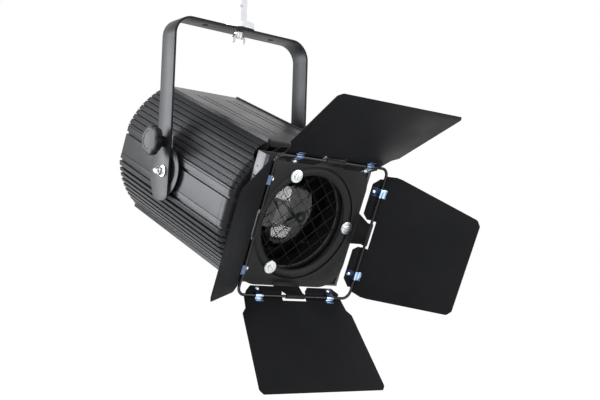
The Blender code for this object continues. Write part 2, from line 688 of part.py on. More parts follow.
def make_tilt_clamp(pan_axis):
    """The knob and stud on the left leg, and the claw that grips the tilt disc's rim."""
    knob_axis = empty("clamp_knob_axis", pan_axis, (-LEG_OUTER, 0, CLAMP_HEIGHT), TO_LEFT)
    neck_top = SEAT_GAP + KNOB_NECK_LENGTH
    face = neck_top + KNOB_THICKNESS
    count = 6 * KNOB_LOBES
    rim = []
    for i in range(count):
        angle = math.tau * i / count
        rim.append(polar(KNOB_RADIUS + KNOB_LOBE * math.cos(KNOB_LOBES * angle), angle))
    knob = plate("clamp_knob", [rim], neck_top, face, KNOB_BLACK, knob_axis)
    edge = knob.modifiers.new("rim_round", "BEVEL")
    edge.width = 0.003
    edge.segments = 2
    edge.limit_method = "ANGLE"
    edge.angle_limit = math.radians(60)
    join(knob, rods("clamp_knob_neck", KNOB_NECK_RADIUS, SEAT_GAP, neck_top + 0.002, [(0, 0)],
                    None, knob_axis, 28))
    cut(knob, rods("clamp_knob_bore", CLAMP_STUD_RADIUS + SEAT_GAP, -CUT_OVER,
                   KNOB_BORE_DEPTH, [(0, 0)], None, knob_axis, 20))
    claw_inner = LEG_OUTER - (DISC_INNER - SEAT_GAP - CLAW_THICKNESS)
    rods("clamp_stud", CLAMP_STUD_RADIUS, -claw_inner + SEAT_GAP, KNOB_BORE_DEPTH - SEAT_GAP,
         [(0, 0)], ZINC, knob_axis, 20)

    # Seen along Y: the heel stands on the leg and the lip reaches behind the disc
    lip_outer = DISC_INNER - SEAT_GAP
    lip_inner = lip_outer - CLAW_THICKNESS
    heel = LEG_INNER - SEAT_GAP
    grip_low = DISC_RADIUS - CLAW_GRIP
    step = DISC_RADIUS + RUN_GAP
    top = CLAMP_HEIGHT + CLAW_TOP
    claw = plate("clamp_claw", [[
        (-lip_inner, grip_low), (-lip_inner, top), (-heel, top), (-heel, step),
        (-lip_outer, step), (-lip_outer, grip_low),
    ]], -CLAW_WIDTH / 2, CLAW_WIDTH / 2, ZINC, pan_axis, (0, 0, 0), (math.pi / 2, 0, 0))
    bore = rods("clamp_claw_bore", CLAMP_STUD_RADIUS + HOLE_GAP, lip_inner - CUT_OVER,
                LEG_INNER + CUT_OVER, [(0, 0)], None, pan_axis, 20, TO_LEFT)
    bore.location.z = CLAMP_HEIGHT
    cut(claw, bore)
    corner = DISC_RADIUS + RUN_GAP
    sweep = rods("clamp_claw_sweep", corner, lip_outer, LEG_OUTER, [(0, 0)], None, pan_axis,
                 64, TO_LEFT)
    cut(claw, sweep)


def make_pivot(lamp):
    """The dished tilt discs on the housing's flats, with the cap bolts they turn on."""
    bore = PIVOT_BOLT_RADIUS + HOLE_GAP
    seat = SHELL_FLAT_X + SEAT_GAP
    floor = seat + DISC_THICKNESS
    profile = [
        (bore, floor), (DISC_FLOOR_RADIUS, floor), (DISC_RIM_RADIUS, DISC_OUTER),
        (DISC_RADIUS, DISC_OUTER), (DISC_RADIUS, DISC_INNER), (DISC_RIM_RADIUS, DISC_INNER),
        (DISC_FLOOR_RADIUS, seat), (bore, seat),
    ]
    turned("tilt_disc_left", profile, ZINC, lamp, closed=True, steps=40, turn=TO_LEFT)
    turned("tilt_disc_right", profile, ZINC, lamp, closed=True, steps=40, turn=TO_RIGHT)

    head_low = LEG_OUTER + 2 * SEAT_GAP + WASHER_THICKNESS
    dome_low = head_low + PIVOT_HEAD_HEIGHT
    inner_end = SHELL_INNER_RADIUS - PIVOT_BOLT_END
    bolt = rods("bolt", PIVOT_HEAD_RADIUS, head_low, dome_low, [(0, 0)], None, None, 6)
    dome = [(PIVOT_DOME_RADIUS * math.cos(a), dome_low + PIVOT_DOME_HEIGHT * math.sin(a))
            for a in (math.radians(step) for step in (60, 30, 0))]
    join(bolt, turned("bolt_dome", [
        (0, dome_low + PIVOT_DOME_HEIGHT), *dome, (PIVOT_DOME_RADIUS, dome_low - 0.002),
        (0, dome_low - 0.002),
    ], None, None, steps=18))
    join(bolt, rods("bolt_shank", PIVOT_BOLT_RADIUS, inner_end, head_low + 0.002, [(0, 0)],
                    None, None, 18))
    sides = [Matrix.Rotation(math.pi / 2, 4, "Y"), Matrix.Rotation(-math.pi / 2, 4, "Y")]
    repeat(("pivot_bolt_right", "pivot_bolt_left"), bolt, sides, ZINC, lamp)


def groove(angle, width, depth):
    """A groove across the round of the shell, from its upper to its lower edge."""
    half = width / 2 / SHELL_RADIUS
    low = SHELL_RADIUS - depth
    return [polar(SHELL_RADIUS, angle + half), polar(low, angle + half),
            polar(low, angle - half), polar(SHELL_RADIUS, angle - half)]


def shell_outline():
    """The right-hand extrusion: top rail, shoulder, flat, belly, bottom rail, inner round."""
    rail_angle = math.acos(RAIL_OUTER_X / SHELL_RADIUS)
    flat_angle = math.acos(SHELL_FLAT_X / SHELL_RADIUS)
    points = [(RAIL_X, RAIL_TOP), (RAIL_OUTER_X, RAIL_TOP), polar(SHELL_RADIUS, rail_angle)]
    for i in reversed(range(SHOULDER_GROOVES)):
        angle = SHOULDER_FIRST + i * SHOULDER_PITCH
        points += groove(angle, SHOULDER_GROOVE_WIDTH, SHOULDER_GROOVE_DEPTH)
    points.append(polar(SHELL_RADIUS, flat_angle))
    for height, width, depth in FLAT_GROOVES:
        points += [
            (SHELL_FLAT_X, height + width / 2), (SHELL_FLAT_X - depth, height + width / 2),
            (SHELL_FLAT_X - depth, height - width / 2), (SHELL_FLAT_X, height - width / 2),
        ]
    points.append(polar(SHELL_RADIUS, -flat_angle))
    for i in range(BELLY_GROOVES):
        angle = -BELLY_FIRST - i * BELLY_PITCH
        points += groove(angle, BELLY_GROOVE_WIDTH, BELLY_GROOVE_DEPTH)
    points += [polar(SHELL_RADIUS, -rail_angle), (RAIL_OUTER_X, -RAIL_TOP),
               (RAIL_X, -RAIL_TOP)]
    inner = math.acos(RAIL_X / SHELL_INNER_RADIUS)
    points += arc(0, 0, SHELL_INNER_RADIUS, -inner, inner, 20)
    return points


def make_shells(lamp):
    """The two side extrusions, bored for the pivot and notched at the front shoulder."""
    outline = shell_outline()
    for side, name in ((1, "side_shell_right"), (-1, "side_shell_left")):
        shell = plate(name, [[(side * x, y) for x, y in outline]], SHELL_REAR, SHELL_FRONT,
                      BLACK_COAT, lamp)
        bore = rods(name + "_bore", PIVOT_BOLT_RADIUS + HOLE_GAP,
                    SHELL_INNER_RADIUS - CUT_OVER, SHELL_FLAT_X + CUT_OVER, [(0, 0)], None,
                    lamp, 20, TO_RIGHT if side > 0 else TO_LEFT)
        centre = RAIL_OUTER_X + NOTCH_RADIUS * 0.55
        notch = rods(name + "_notch", NOTCH_RADIUS, SHELL_RADIUS / 2, SHELL_RADIUS + CUT_OVER,
                     [(0, 0)], None, lamp, 32, (-math.pi / 2, 0, 0))
        notch.location = (side * centre, 0, NOTCH_REACH)
        cut(shell, bore, notch)


def make_cover(name, side, lamp):
    """A slotted cover between the shells, turned in at the front."""
    middle = COVER_FACE - COVER_THICKNESS / 2
    bend = COVER_NOSE_RADIUS - COVER_THICKNESS / 2
    path = [(middle, SHELL_REAR)]
    nose = arc(COVER_NOSE_START, middle - bend, bend, math.pi / 2,
               math.pi / 2 - COVER_NOSE_TURN, 6)
    path += [(height, forward) for forward, height in nose]
    half = RAIL_X - SEAT_GAP
    rows = [[[(-half, side * y, z), (half, side * y, z)]] for y, z in path]
    cover = sheet(name, rows, COVER_THICKNESS, BLACK_COAT, lamp)
    length = VENT_FRONT - VENT_REAR
    vents = [((VENT_WIDTH, COVER_THICKNESS + CUT_OVER, length),
              (x, side * middle, (VENT_FRONT + VENT_REAR) / 2)) for x in VENT_PLACES]
    cut(cover, blocks(name + "_vents", vents, None, lamp))


def make_front(lamp):
    """The bezel inside the shells' front end, with its collar and bosses."""
    collar = APERTURE_RADIUS + COLLAR_WALL
    collar_front = HOLDER_REAR - SEAT_GAP
    outer = PLATE_RADIUS
    bezel = turned("front_bezel", [
        (APERTURE_RADIUS, collar_front), (collar, collar_front), (collar, BEZEL_FRONT),
        (outer, BEZEL_FRONT), (outer, BEZEL_REAR), (collar, BEZEL_REAR),
        (collar, COLLAR_REAR), (APERTURE_RADIUS, COLLAR_REAR),
    ], INNER_BLACK, lamp, closed=True, steps=40)
    bosses = [(x, y) for x in (-BOSS_X, BOSS_X) for y in (-BOSS_Y, BOSS_Y)]
    join(bezel, rods("bezel_bosses", BOSS_RADIUS, BEZEL_REAR + 0.001, collar_front, bosses,
                     None, lamp, 14))
    trim = 2 * (outer - PLATE_FLAT) + CUT_OVER
    depth = collar_front - COLLAR_REAR + CUT_OVER
    middle = (collar_front + COLLAR_REAR) / 2
    flats = [((2 * outer, trim, depth), (0, side * (PLATE_FLAT + trim / 2), middle))
             for side in (-1, 1)]
    cut(bezel, blocks("bezel_flats", flats, None, lamp))


def make_rear_panel(lamp):
    """The rear panel with its openings, and the bulkhead with the four rails it carries."""
    rails = [polar(RAIL_CIRCLE, angle) for angle in RAIL_ANGLES]
    holes = [circle(SPINDLE_X, SPINDLE_Y, SPINDLE_RADIUS + RUN_GAP, 20)]
    holes.append(circle(MENU_KNOB_X, DISPLAY_PLACE[1], MENU_SHAFT_RADIUS + RUN_GAP, 16))
    holes.append(box_outline(*DISPLAY_PLACE, DISPLAY_SIZE[0] + 2 * SEAT_GAP,
                             DISPLAY_SIZE[1] + 2 * SEAT_GAP))
    for place in (INLET_PLACE, *SOCKET_PLACES):
        holes.append(circle(*place, SOCKET_BODY_RADIUS + HOLE_GAP, 24))
    for i in range(GRILLE_SLOTS):
        y = (i - (GRILLE_SLOTS - 1) / 2) * GRILLE_PITCH
        width = 2 * math.sqrt(max(GRILLE_RADIUS ** 2 - (abs(y) + GRILLE_SLOT / 2) ** 2, 0.0001))
        holes.append(box_outline(0, y, width, GRILLE_SLOT))
    plate("rear_panel", [inner_outline(), *holes], PANEL_REAR, PANEL_FRONT, BLACK_COAT, lamp)

    openings = [circle(0, 0, BOARD_RADIUS + HOLE_GAP * 2, 32),
                circle(SPINDLE_X, SPINDLE_Y, SPINDLE_RADIUS + RUN_GAP, 20)]
    frame = plate("rail_frame", [inner_outline(), *openings], BULKHEAD_REAR, BULKHEAD_FRONT,
                  BARE_ALUMINIUM, lamp)
    join(frame, rods("rail_set", GUIDE_RADIUS, PANEL_FRONT + SEAT_GAP, BEZEL_REAR - SEAT_GAP,
                     rails, None, lamp, 14))


def make_holder(lamp):
    """The accessory holder with its side runners, and the sprung catch on its top."""
    half = HOLDER_HALF
    inner = half - HOLDER_SHEET
    lip = half - HOLDER_LIP
    right = [(half, HOLDER_REAR), (half, HOLDER_FRONT), (lip, HOLDER_FRONT), (lip, LIP_REAR),
             (inner, LIP_REAR), (inner, HOLDER_FACE)]
    left = [(-x, z) for x, z in reversed(right)]
    # The section lies flat and runs upwards: its second axis becomes the beam's
    section = [(x, -z) for x, z in right + left]
    holder = plate("accessory_holder", [section], -HOLDER_HALF_HEIGHT, HOLDER_HALF_HEIGHT,
                   BLACK_COAT, lamp, (0, 0, 0), (-math.pi / 2, 0, 0))
    floor = ((2 * inner + HOLDER_SHEET, HOLDER_SHEET * 2, HOLDER_FRONT - HOLDER_REAR),
             (0, -HOLDER_HALF_HEIGHT, (HOLDER_FRONT + HOLDER_REAR) / 2))
    pin_y = HOLDER_HALF_HEIGHT + CATCH_PIN_ABOVE
    pin_z = HOLDER_FACE + CATCH_PIN_FORWARD
    ear_x = CATCH_HALF + RUN_GAP + CATCH_EAR / 2
    ear_low = HOLDER_HALF_HEIGHT - 0.004
    ear_high = pin_y + CATCH_BARREL
    ears = [((CATCH_EAR, ear_high - ear_low, CATCH_PIN_FORWARD + CATCH_BARREL + HOLDER_SHEET),
             (side * ear_x, (ear_high + ear_low) / 2,
              (HOLDER_REAR + pin_z + CATCH_BARREL) / 2)) for side in (-1, 1)]
    join(holder, blocks("holder_floor", [floor], None, lamp),
         blocks("holder_ears", ears, None, lamp))
    pin_hole = rods("holder_pin_hole", CATCH_PIN_RADIUS + SEAT_GAP, -ear_x - CATCH_EAR,
                    ear_x + CATCH_EAR, [(0, 0)], None, lamp, 12, TO_RIGHT)
    pin_hole.location = (0, pin_y, pin_z)
    cut(holder, rods("holder_aperture", APERTURE_RADIUS, HOLDER_REAR - CUT_OVER,
                     HOLDER_FACE + CUT_OVER, [(0, 0)], None, lamp, 40),
        pin_hole)

    pin = rods("catch_pin", CATCH_PIN_RADIUS, -ear_x - CATCH_EAR / 2, ear_x + CATCH_EAR / 2,
               [(0, 0)], ZINC, lamp, 12, TO_RIGHT)
    pin.location = (0, pin_y, pin_z)
    catch_axis = empty("catch_axis", lamp, (0, pin_y, pin_z))
    # Seen along X: the barrel round the pin and the arm over the carrier's top edge
    tip = HOLDER_FRONT - SEAT_GAP - pin_z
    low = -CATCH_BARREL - CATCH_SHEET
    section = arc(0, 0, CATCH_BARREL, math.radians(-40), math.radians(250), 14)
    section += [(section[-1][0], low), (tip, low), (tip, -CATCH_BARREL)]
    plate("accessory_catch", [section, circle(0, 0, CATCH_PIN_RADIUS + SEAT_GAP, 12)],
          -CATCH_HALF, CATCH_HALF, ZINC, catch_axis, (0, 0, 0), (0, -math.pi / 2, 0))


def make_guard(lamp):
    """The wire guard: a flat ring with two layers of straight wires joined to it."""
    low = HOLDER_FACE + SEAT_GAP
    inner = GUARD_RING_RADIUS - GUARD_RING_WIDTH
    guard = plate("wire_guard", [circle(0, 0, GUARD_RING_RADIUS, 40), circle(0, 0, inner, 40)],
                  low, low + GUARD_RING_THICKNESS, INNER_BLACK, lamp)
    reach = (inner + GUARD_RING_RADIUS) / 2
    count = int(inner / GUARD_PITCH)
    middle = low + GUARD_RING_THICKNESS / 2
    for layer, turn in ((-1, 0), (1, math.pi / 2)):
        wires = []
        for i in range(-count, count + 1):
            offset = i * GUARD_PITCH
            length = 2 * math.sqrt(reach ** 2 - offset ** 2)
            wires.append(((length, GUARD_WIRE, GUARD_WIRE),
                          (0, offset, middle + layer * GUARD_WIRE * 0.6)))
        grid = blocks(f"guard_wires_{layer + 1}", wires, None, lamp)
        grid.rotation_euler = (0, 0, GUARD_TURN + turn)
        join(guard, grid)


def make_barn_door(lamp):
    """The carrier in the runners, the bearing ring, and all that turns round it."""
    half = CARRIER_HALF
    height = HOLDER_HALF_HEIGHT - HOLDER_SHEET - SEAT_GAP
    outline = [(-half, -height), (half, -height), (half, height), (-half, height)]
    screws = [polar(RETAINER_CIRCLE, angle) for angle in RETAINER_ANGLES]
    bore = RETAINER_SHANK + SEAT_GAP
    holes = [circle(x, y, bore, 12) for x, y in screws]
    plate("barn_door_carrier", [outline, circle(0, 0, RING_INNER_RADIUS, 48), *holes],
          CARRIER_REAR, CARRIER_FRONT, BLACK_COAT, lamp)

    ring_low = CARRIER_FRONT + SEAT_GAP
    crest = PLATE_FRONT
    ring = turned("bearing_ring", [
        (RING_INNER_RADIUS, ring_low + RING_EDGE), (RING_INNER_RADIUS + 0.005, crest - 0.0012),
        (RETAINER_CIRCLE - 0.002, crest), (RING_OUTER_RADIUS, crest),
        (RING_OUTER_RADIUS, ring_low), (RING_INNER_RADIUS, ring_low),
    ], BLACK_COAT, lamp, closed=True, steps=48)
    cut(ring, rods("bearing_ring_bores", bore, ring_low - CUT_OVER, crest + CUT_OVER, screws,
                   None, lamp, 12))

    seat = RETAINER_REAR + 2 * RETAINER_THICKNESS
    top = seat + RETAINER_SCREW_HEIGHT
    tip = CARRIER_REAR - 0.003
    screw = turned("retainer", [
        (0, top), (RETAINER_SCREW_HEAD * 0.75, top), (RETAINER_SCREW_HEAD, seat + 0.001),
        (RETAINER_SCREW_HEAD, seat), (RETAINER_RADIUS, seat),
        (RETAINER_RADIUS, RETAINER_REAR), (RETAINER_SHANK, RETAINER_REAR),
        (RETAINER_SHANK, tip), (0, tip),
    ], None, None, steps=20)
    cut(screw, block("retainer_slot", (3 * RETAINER_SCREW_HEAD, RETAINER_SLOT_WIDTH,
                                       2 * RETAINER_SLOT_DEPTH), None, None, (0, 0, top)))
    names = [f"ring_retainer_{i + 1}" for i in range(len(screws))]
    moves = [Matrix.Translation((x, y, 0)) for x, y in screws]
    repeat(names, screw, moves, ZINC, lamp)

    door = empty("barn_door_axis", lamp)
    make_door_plate(door)
    make_rod(door)
    for name, (side, corners, opening) in LEAVES.items():
        make_leaf(name, math.radians(side), corners, math.radians(opening), door)


def make_door_plate(door):
    """The turning base plate with a tab curled round the rod on each side."""
    base = plate("barn_door_plate", [rounded_square(PLATE_HALF, PLATE_CORNER, 8),
                                     circle(0, 0, RING_OUTER_RADIUS + RUN_GAP, 48)],
                 PLATE_REAR, PLATE_FRONT, BLACK_COAT, door)
    middle = PLATE_SHEET / 2
    wrap = ROD_RADIUS + RUN_GAP + middle
    axis = ROD_SPAN / 2
    path = [(PLATE_HALF - 0.006, PLATE_MIDDLE), (PLATE_HALF + 0.0005, PLATE_MIDDLE + 0.0012)]
    curl = arc(axis, ROD_FORWARD, wrap, math.pi, 0, 9)
    path += [(axis - wrap, ROD_FORWARD - 0.004)] + curl
    for quarter in range(4):
        rows = []
        for i, (out, forward) in enumerate(path):
            half = TAB_BASE_HALF_WIDTH if i < 2 else TAB_HALF_WIDTH
            rows.append([[(out, -half, forward), (out, half, forward)]])
        tab = sheet(f"door_tab_{quarter}", rows, PLATE_SHEET, None, door,
                    turn=(0, 0, quarter * math.pi / 2))
        join(base, tab)


def make_rod(door):
    """The square frame of round rod that the leaves hinge on."""
    curve = bpy.data.curves.new("barn_door_rod", "CURVE")
    curve.dimensions = "3D"
    curve.bevel_depth = ROD_RADIUS
    curve.bevel_resolution = 2
    curve.use_fill_caps = True
    points = rounded_square(ROD_SPAN / 2, ROD_CORNER, 6)
    spline = curve.splines.new("POLY")
    spline.points.add(len(points) - 1)
    for point, (x, y) in zip(spline.points, points):
        point.co = (x, y, 0, 1)
    spline.use_cyclic_u = True
    curve.materials.append(BLACK_COAT)
    rod = bpy.data.objects.new("barn_door_rod", curve)
    spotlight.objects.link(rod)
    hang(rod, door, (0, 0, ROD_FORWARD), (0, 0, 0))


def leaf_rows(corners):
    """Rows of points across a leaf, from the tongues' tips to the far edge."""
    rows = []
    inner_tip = TONGUE_INNER + TONGUE_CHAMFER
    for along, lift, outer, inner in (
        (-TONGUE_LENGTH, TONGUE_RISE, TONGUE_TIP, inner_tip),
        (-TONGUE_FOLD - 0.003, TONGUE_RISE, TONGUE_OUTER - 0.003, TONGUE_INNER),
        (-TONGUE_FOLD, TONGUE_RISE, TONGUE_OUTER, TONGUE_INNER),
        (-TONGUE_FOOT, -LEAF_BEHIND, TONGUE_OUTER, TONGUE_INNER),
        (0, -LEAF_BEHIND, corners[0][1], TONGUE_INNER),
        (NOTCH_DEPTH, -LEAF_BEHIND, corners[0][1] + 0.001, TONGUE_INNER),
    ):
        rows.append([[(-outer, along, lift), (-inner, along, lift)], [],
                     [(inner, along, lift), (outer, along, lift)]])
    last = rows[-1]
    last[1] = [last[0][-1], last[2][0]]
    for along, half in corners[1:]:
        ends = [(-half, along), (-TONGUE_INNER, along), (TONGUE_INNER, along), (half, along)]
        flat = [(x, y, -LEAF_BEHIND) for x, y in ends]
        rows.append([flat[0:2], flat[1:3], flat[2:4]])
    return rows


def make_leaf(name, side, corners, opening, door):
    """One leaf with its two riveted spring clips, on the hinge axis of its side.

    In the hinge's frame X runs along the rod, Y out along the leaf and Z from its inner face.
    """
    out = Vector((math.cos(side), math.sin(side), 0)) * ROD_SPAN / 2
    place = (out.x, out.y, ROD_FORWARD)
    side_axis = empty(name + "_side", door, place, (0, 0, side - math.pi / 2))
    hinge = empty(name + "_axis", side_axis, (0, 0, 0), (math.pi - opening, 0, 0))
    leaf = sheet(name, leaf_rows(corners), LEAF_SHEET, LEAF_BLACK, hinge)
    rivet_holes = [(-CLIP_PLACE, -RIVET_PLACE), (CLIP_PLACE, -RIVET_PLACE)]
    bore = rods(name + "_rivet_holes", RIVET_RADIUS + SEAT_GAP, -0.004, 0.006, rivet_holes,
                None, hinge, 12)
    cut(leaf, bore)

    tongue_top = TONGUE_RISE + LEAF_SHEET / 2
    clip_flat = tongue_top + SEAT_GAP + CLIP_SHEET / 2
    over = ROD_RADIUS + RUN_GAP + CLIP_SHEET / 2 + 0.0001
    leaf_top = -LEAF_BEHIND + LEAF_SHEET / 2
    clip_low = leaf_top + SEAT_GAP + CLIP_SHEET / 2
    path = [(-RIVET_PLACE - 0.0045, clip_flat), (-over - 0.0035, clip_flat)]
    path += [(y, z) for y, z in arc(0, 0, over, math.radians(120), math.radians(0), 6)]
    path += [(over + 0.0008, clip_low), (CLIP_REACH - 0.002, clip_low),
             (CLIP_REACH, clip_low + 0.0008)]
    half = CLIP_WIDTH / 2
    rows = [[[(-half, y, z), (half, y, z)]] for y, z in path]
    clip = sheet("clip", rows, CLIP_SHEET, None, None)
    seat = clip_flat + CLIP_SHEET / 2
    back = TONGUE_RISE - LEAF_SHEET / 2 - SEAT_GAP
    join(clip, turned("rivet", [
        (0, seat + RIVET_HEAD_HEIGHT), (RIVET_HEAD_RADIUS * 0.6, seat + RIVET_HEAD_HEIGHT * 0.85),
        (RIVET_HEAD_RADIUS * 0.92, seat + RIVET_HEAD_HEIGHT * 0.45),
        (RIVET_HEAD_RADIUS, seat - CLIP_SHEET / 2), (RIVET_RADIUS, seat - CLIP_SHEET / 2),
        (RIVET_RADIUS, back), (RIVET_TAIL_RADIUS, back),
        (RIVET_TAIL_RADIUS, back - RIVET_TAIL_HEIGHT), (0, back - RIVET_TAIL_HEIGHT),
    ], None, None, steps=14, place=(0, -RIVET_PLACE, 0)))
    moves = [Matrix.Translation((x, 0, 0)) for x in (-CLIP_PLACE, CLIP_PLACE)]
    repeat((name + "_clip_1", name + "_clip_2"), clip, moves, BLUE_ZINC, hinge)


def make_lens(lamp):
    """The lens in its ring on the carriage, the rails and the focus drive."""
    edge = LENS_BACK + LENS_EDGE
    curve = (LENS_RADIUS ** 2 + LENS_DOME ** 2) / (2 * LENS_DOME)
    centre = edge + LENS_DOME - curve
    spread = math.asin(LENS_RADIUS / curve)
    dome = [(r, z) for z, r in arc(centre, 0, curve, 0, spread, 8)]
    dome[0] = (0, edge + LENS_DOME)
    carriage = empty("lens_travel_axis", lamp)
    turned("lens", dome + [(LENS_RADIUS, LENS_BACK), (0, LENS_BACK)], GLASS, carriage, steps=36)
    inner = LENS_RADIUS + SEAT_GAP
    outer = inner + LENS_RING_WALL
    lip = LENS_RADIUS - LENS_RING_LIP
    lip_low = edge + 0.0010
    turned("lens_ring", [
        (lip, lip_low + 0.0012), (outer, lip_low + 0.0012), (outer, CARRIAGE_FRONT + SEAT_GAP),
        (inner, CARRIAGE_FRONT + SEAT_GAP), (inner, lip_low), (lip, lip_low),
    ], BARE_ALUMINIUM, carriage, closed=True, steps=36)
    holes = [circle(0, 0, CARRIAGE_APERTURE, 36)]
    rails = [polar(RAIL_CIRCLE, angle) for angle in RAIL_ANGLES]
    holes += [circle(x, y, GUIDE_RADIUS + RUN_GAP, 14) for x, y in rails]
    holes.append(circle(SPINDLE_X, SPINDLE_Y, SPINDLE_RADIUS + RUN_GAP, 20))
    plate("lens_carriage", [inner_outline(CARRIAGE_GAP), *holes], CARRIAGE_REAR,
          CARRIAGE_FRONT, INNER_BLACK, carriage)

    focus = empty("focus_axis", lamp, (SPINDLE_X, SPINDLE_Y, PANEL_REAR))
    knob_front = -SEAT_GAP
    knob_rear = knob_front - FOCUS_KNOB_LENGTH
    knob_bore = knob_front - FOCUS_KNOB_BORE
    rods("focus_spindle", SPINDLE_RADIUS, knob_bore + SEAT_GAP,
         BEZEL_REAR - SEAT_GAP - PANEL_REAR, [(0, 0)], ZINC, focus, 20)
    bore = SPINDLE_RADIUS + SEAT_GAP
    turned("focus_knob", [
        (bore, knob_front), (FOCUS_KNOB_RADIUS, knob_front),
        (FOCUS_KNOB_RADIUS, knob_rear + 0.002), (FOCUS_KNOB_RADIUS - 0.002, knob_rear),
        (0, knob_rear), (0, knob_bore), (bore, knob_bore),
    ], KNOB_BLACK, focus, closed=True, steps=28)


def make_light_engine(lamp):
    """The heat sink, LED board and reflector cone on the bulkhead, and the fan."""
    width = 2 * SINK_HALF_WIDTH
    space = (width - SINK_FIN) / (SINK_FINS - 1)
    rear = SINK_FRONT - SINK_DEPTH
    base = SINK_FRONT - SINK_BASE
    comb = [(-SINK_HALF_WIDTH, SINK_FRONT)]
    for i in range(SINK_FINS):
        x = -SINK_HALF_WIDTH + i * space
        comb += [(x, rear), (x + SINK_FIN, rear)]
        if i < SINK_FINS - 1:
            comb += [(x + SINK_FIN, base), (x + space, base)]
    comb.append((SINK_HALF_WIDTH, SINK_FRONT))
    plate("heat_sink", [[(x, -z) for x, z in comb]], -SINK_HALF_HEIGHT, SINK_HALF_HEIGHT,
          BARE_ALUMINIUM, lamp, (0, 0, 0), (-math.pi / 2, 0, 0))

    low = SINK_FRONT + SEAT_GAP
    face = low + BOARD_THICKNESS
    turned("led_board", [
        (0, face + EMITTER_HEIGHT), (EMITTER_RADIUS, face + EMITTER_HEIGHT),
        (EMITTER_RADIUS, face), (BOARD_RADIUS, face), (BOARD_RADIUS, low), (0, low),
    ], EMITTER_YELLOW, lamp, steps=32)

    cone_low = BULKHEAD_FRONT + SEAT_GAP
    cone_high = cone_low + CONE_LENGTH
    turned("light_cone", [
        (CONE_LARGE_RADIUS - CONE_WALL, cone_high), (CONE_LARGE_RADIUS, cone_high),
        (CONE_SMALL_RADIUS + CONE_WALL * 2, cone_low + CONE_WALL),
        (CONE_FLANGE, cone_low + CONE_WALL), (CONE_FLANGE, cone_low),
        (CONE_SMALL_RADIUS, cone_low),
    ], BARE_ALUMINIUM, lamp, closed=True, steps=36)

    frame = plate("fan_frame", [rounded_square(FAN_HALF, 0.004, 3),
                                circle(0, 0, FAN_BORE, 36)], FAN_REAR, FAN_FRONT,
                  KNOB_BLACK, lamp)
    web = rods("fan_web", FAN_HUB, FAN_FRONT - FAN_WEB, FAN_FRONT, [(0, 0)], None, lamp, 24)
    join(frame, web)
    for i in range(3):
        angle = math.radians(90 + 120 * i)
        reach = (FAN_BORE + FAN_HUB) / 2
        length = FAN_BORE - FAN_HUB + 0.003
        arm = block(f"fan_arm_{i}", (length, 0.004, FAN_WEB * 0.8), None, lamp,
                    (*polar(reach, angle), FAN_FRONT - FAN_WEB / 2), (0, 0, angle))
        join(frame, arm)
    rotor_high = FAN_FRONT - FAN_WEB - HOLE_GAP
    rotor_low = FAN_REAR + 0.0025
    rotor_axis = empty("fan_axis", lamp)
    rotor = rods("fan_rotor", FAN_HUB, rotor_low, rotor_high, [(0, 0)], KNOB_BLACK,
                 rotor_axis, 28)
    tip = FAN_BORE - FAN_TIP_GAP
    length = tip - FAN_HUB + 0.002
    height = (rotor_high - rotor_low) * 0.8
    for i in range(FAN_BLADES):
        angle = math.tau * i / FAN_BLADES
        blade = block(f"fan_blade_{i}", (length, FAN_BLADE_THICKNESS, height), None, rotor_axis,
                      (*polar(tip - length / 2 - 0.0012, angle), (rotor_low + rotor_high) / 2))
        blade.rotation_euler = (Matrix.Rotation(angle, 3, "Z")
                                @ Matrix.Rotation(FAN_BLADE_PITCH, 3, "X")).to_euler()
        join(rotor, blade)


def make_electronics(lamp):
    """The supply, the control board and what shows on the rear panel."""
    supply_front = BULKHEAD_REAR - SEAT_GAP
    block("power_supply", SUPPLY_SIZE, BARE_ALUMINIUM, lamp,
          (0, SUPPLY_Y, supply_front - SUPPLY_SIZE[2] / 2))

    board_z = PANEL_FRONT + BOARD_BEHIND_PANEL
    board = block("control_board", BOARD_SIZE, BOARD_GREEN, lamp,
                  (BOARD_X, DISPLAY_PLACE[1], board_z + BOARD_SIZE[2] / 2))
    pillars = []
    for side in (-1, 1):
        for up in (-1, 1):
            pillars.append((BOARD_X + side * (BOARD_SIZE[0] / 2 - PILLAR_RADIUS - 0.001),
                            DISPLAY_PLACE[1] + up * (BOARD_SIZE[1] / 2 - PILLAR_RADIUS - 0.001)))
    join(board, rods("board_pillars", PILLAR_RADIUS, PANEL_FRONT + SEAT_GAP,
                     board_z + BOARD_SIZE[2] / 2, pillars, None, lamp, 10))
    block("display_window", DISPLAY_SIZE, DISPLAY_DARK, lamp,
          (*DISPLAY_PLACE, PANEL_REAR + DISPLAY_SIZE[2] / 2 - SEAT_GAP))
    menu_axis = empty("menu_axis", lamp, (MENU_KNOB_X, DISPLAY_PLACE[1], PANEL_REAR))
    rear = -SEAT_GAP - MENU_KNOB_LENGTH
    tip = PANEL_THICKNESS + BOARD_BEHIND_PANEL - SEAT_GAP
    turned("menu_knob", [
        (0, tip), (MENU_SHAFT_RADIUS, tip), (MENU_SHAFT_RADIUS, -SEAT_GAP),
        (MENU_KNOB_RADIUS, -SEAT_GAP), (MENU_KNOB_RADIUS * 0.94, rear + 0.001),
        (MENU_KNOB_RADIUS * 0.8, rear), (0, rear),
    ], KNOB_BLACK, menu_axis, steps=24)

    make_socket("power_inlet", [INLET_PLACE], BLUE_ZINC, lamp)
    make_socket("data_sockets", SOCKET_PLACES, ZINC, lamp)


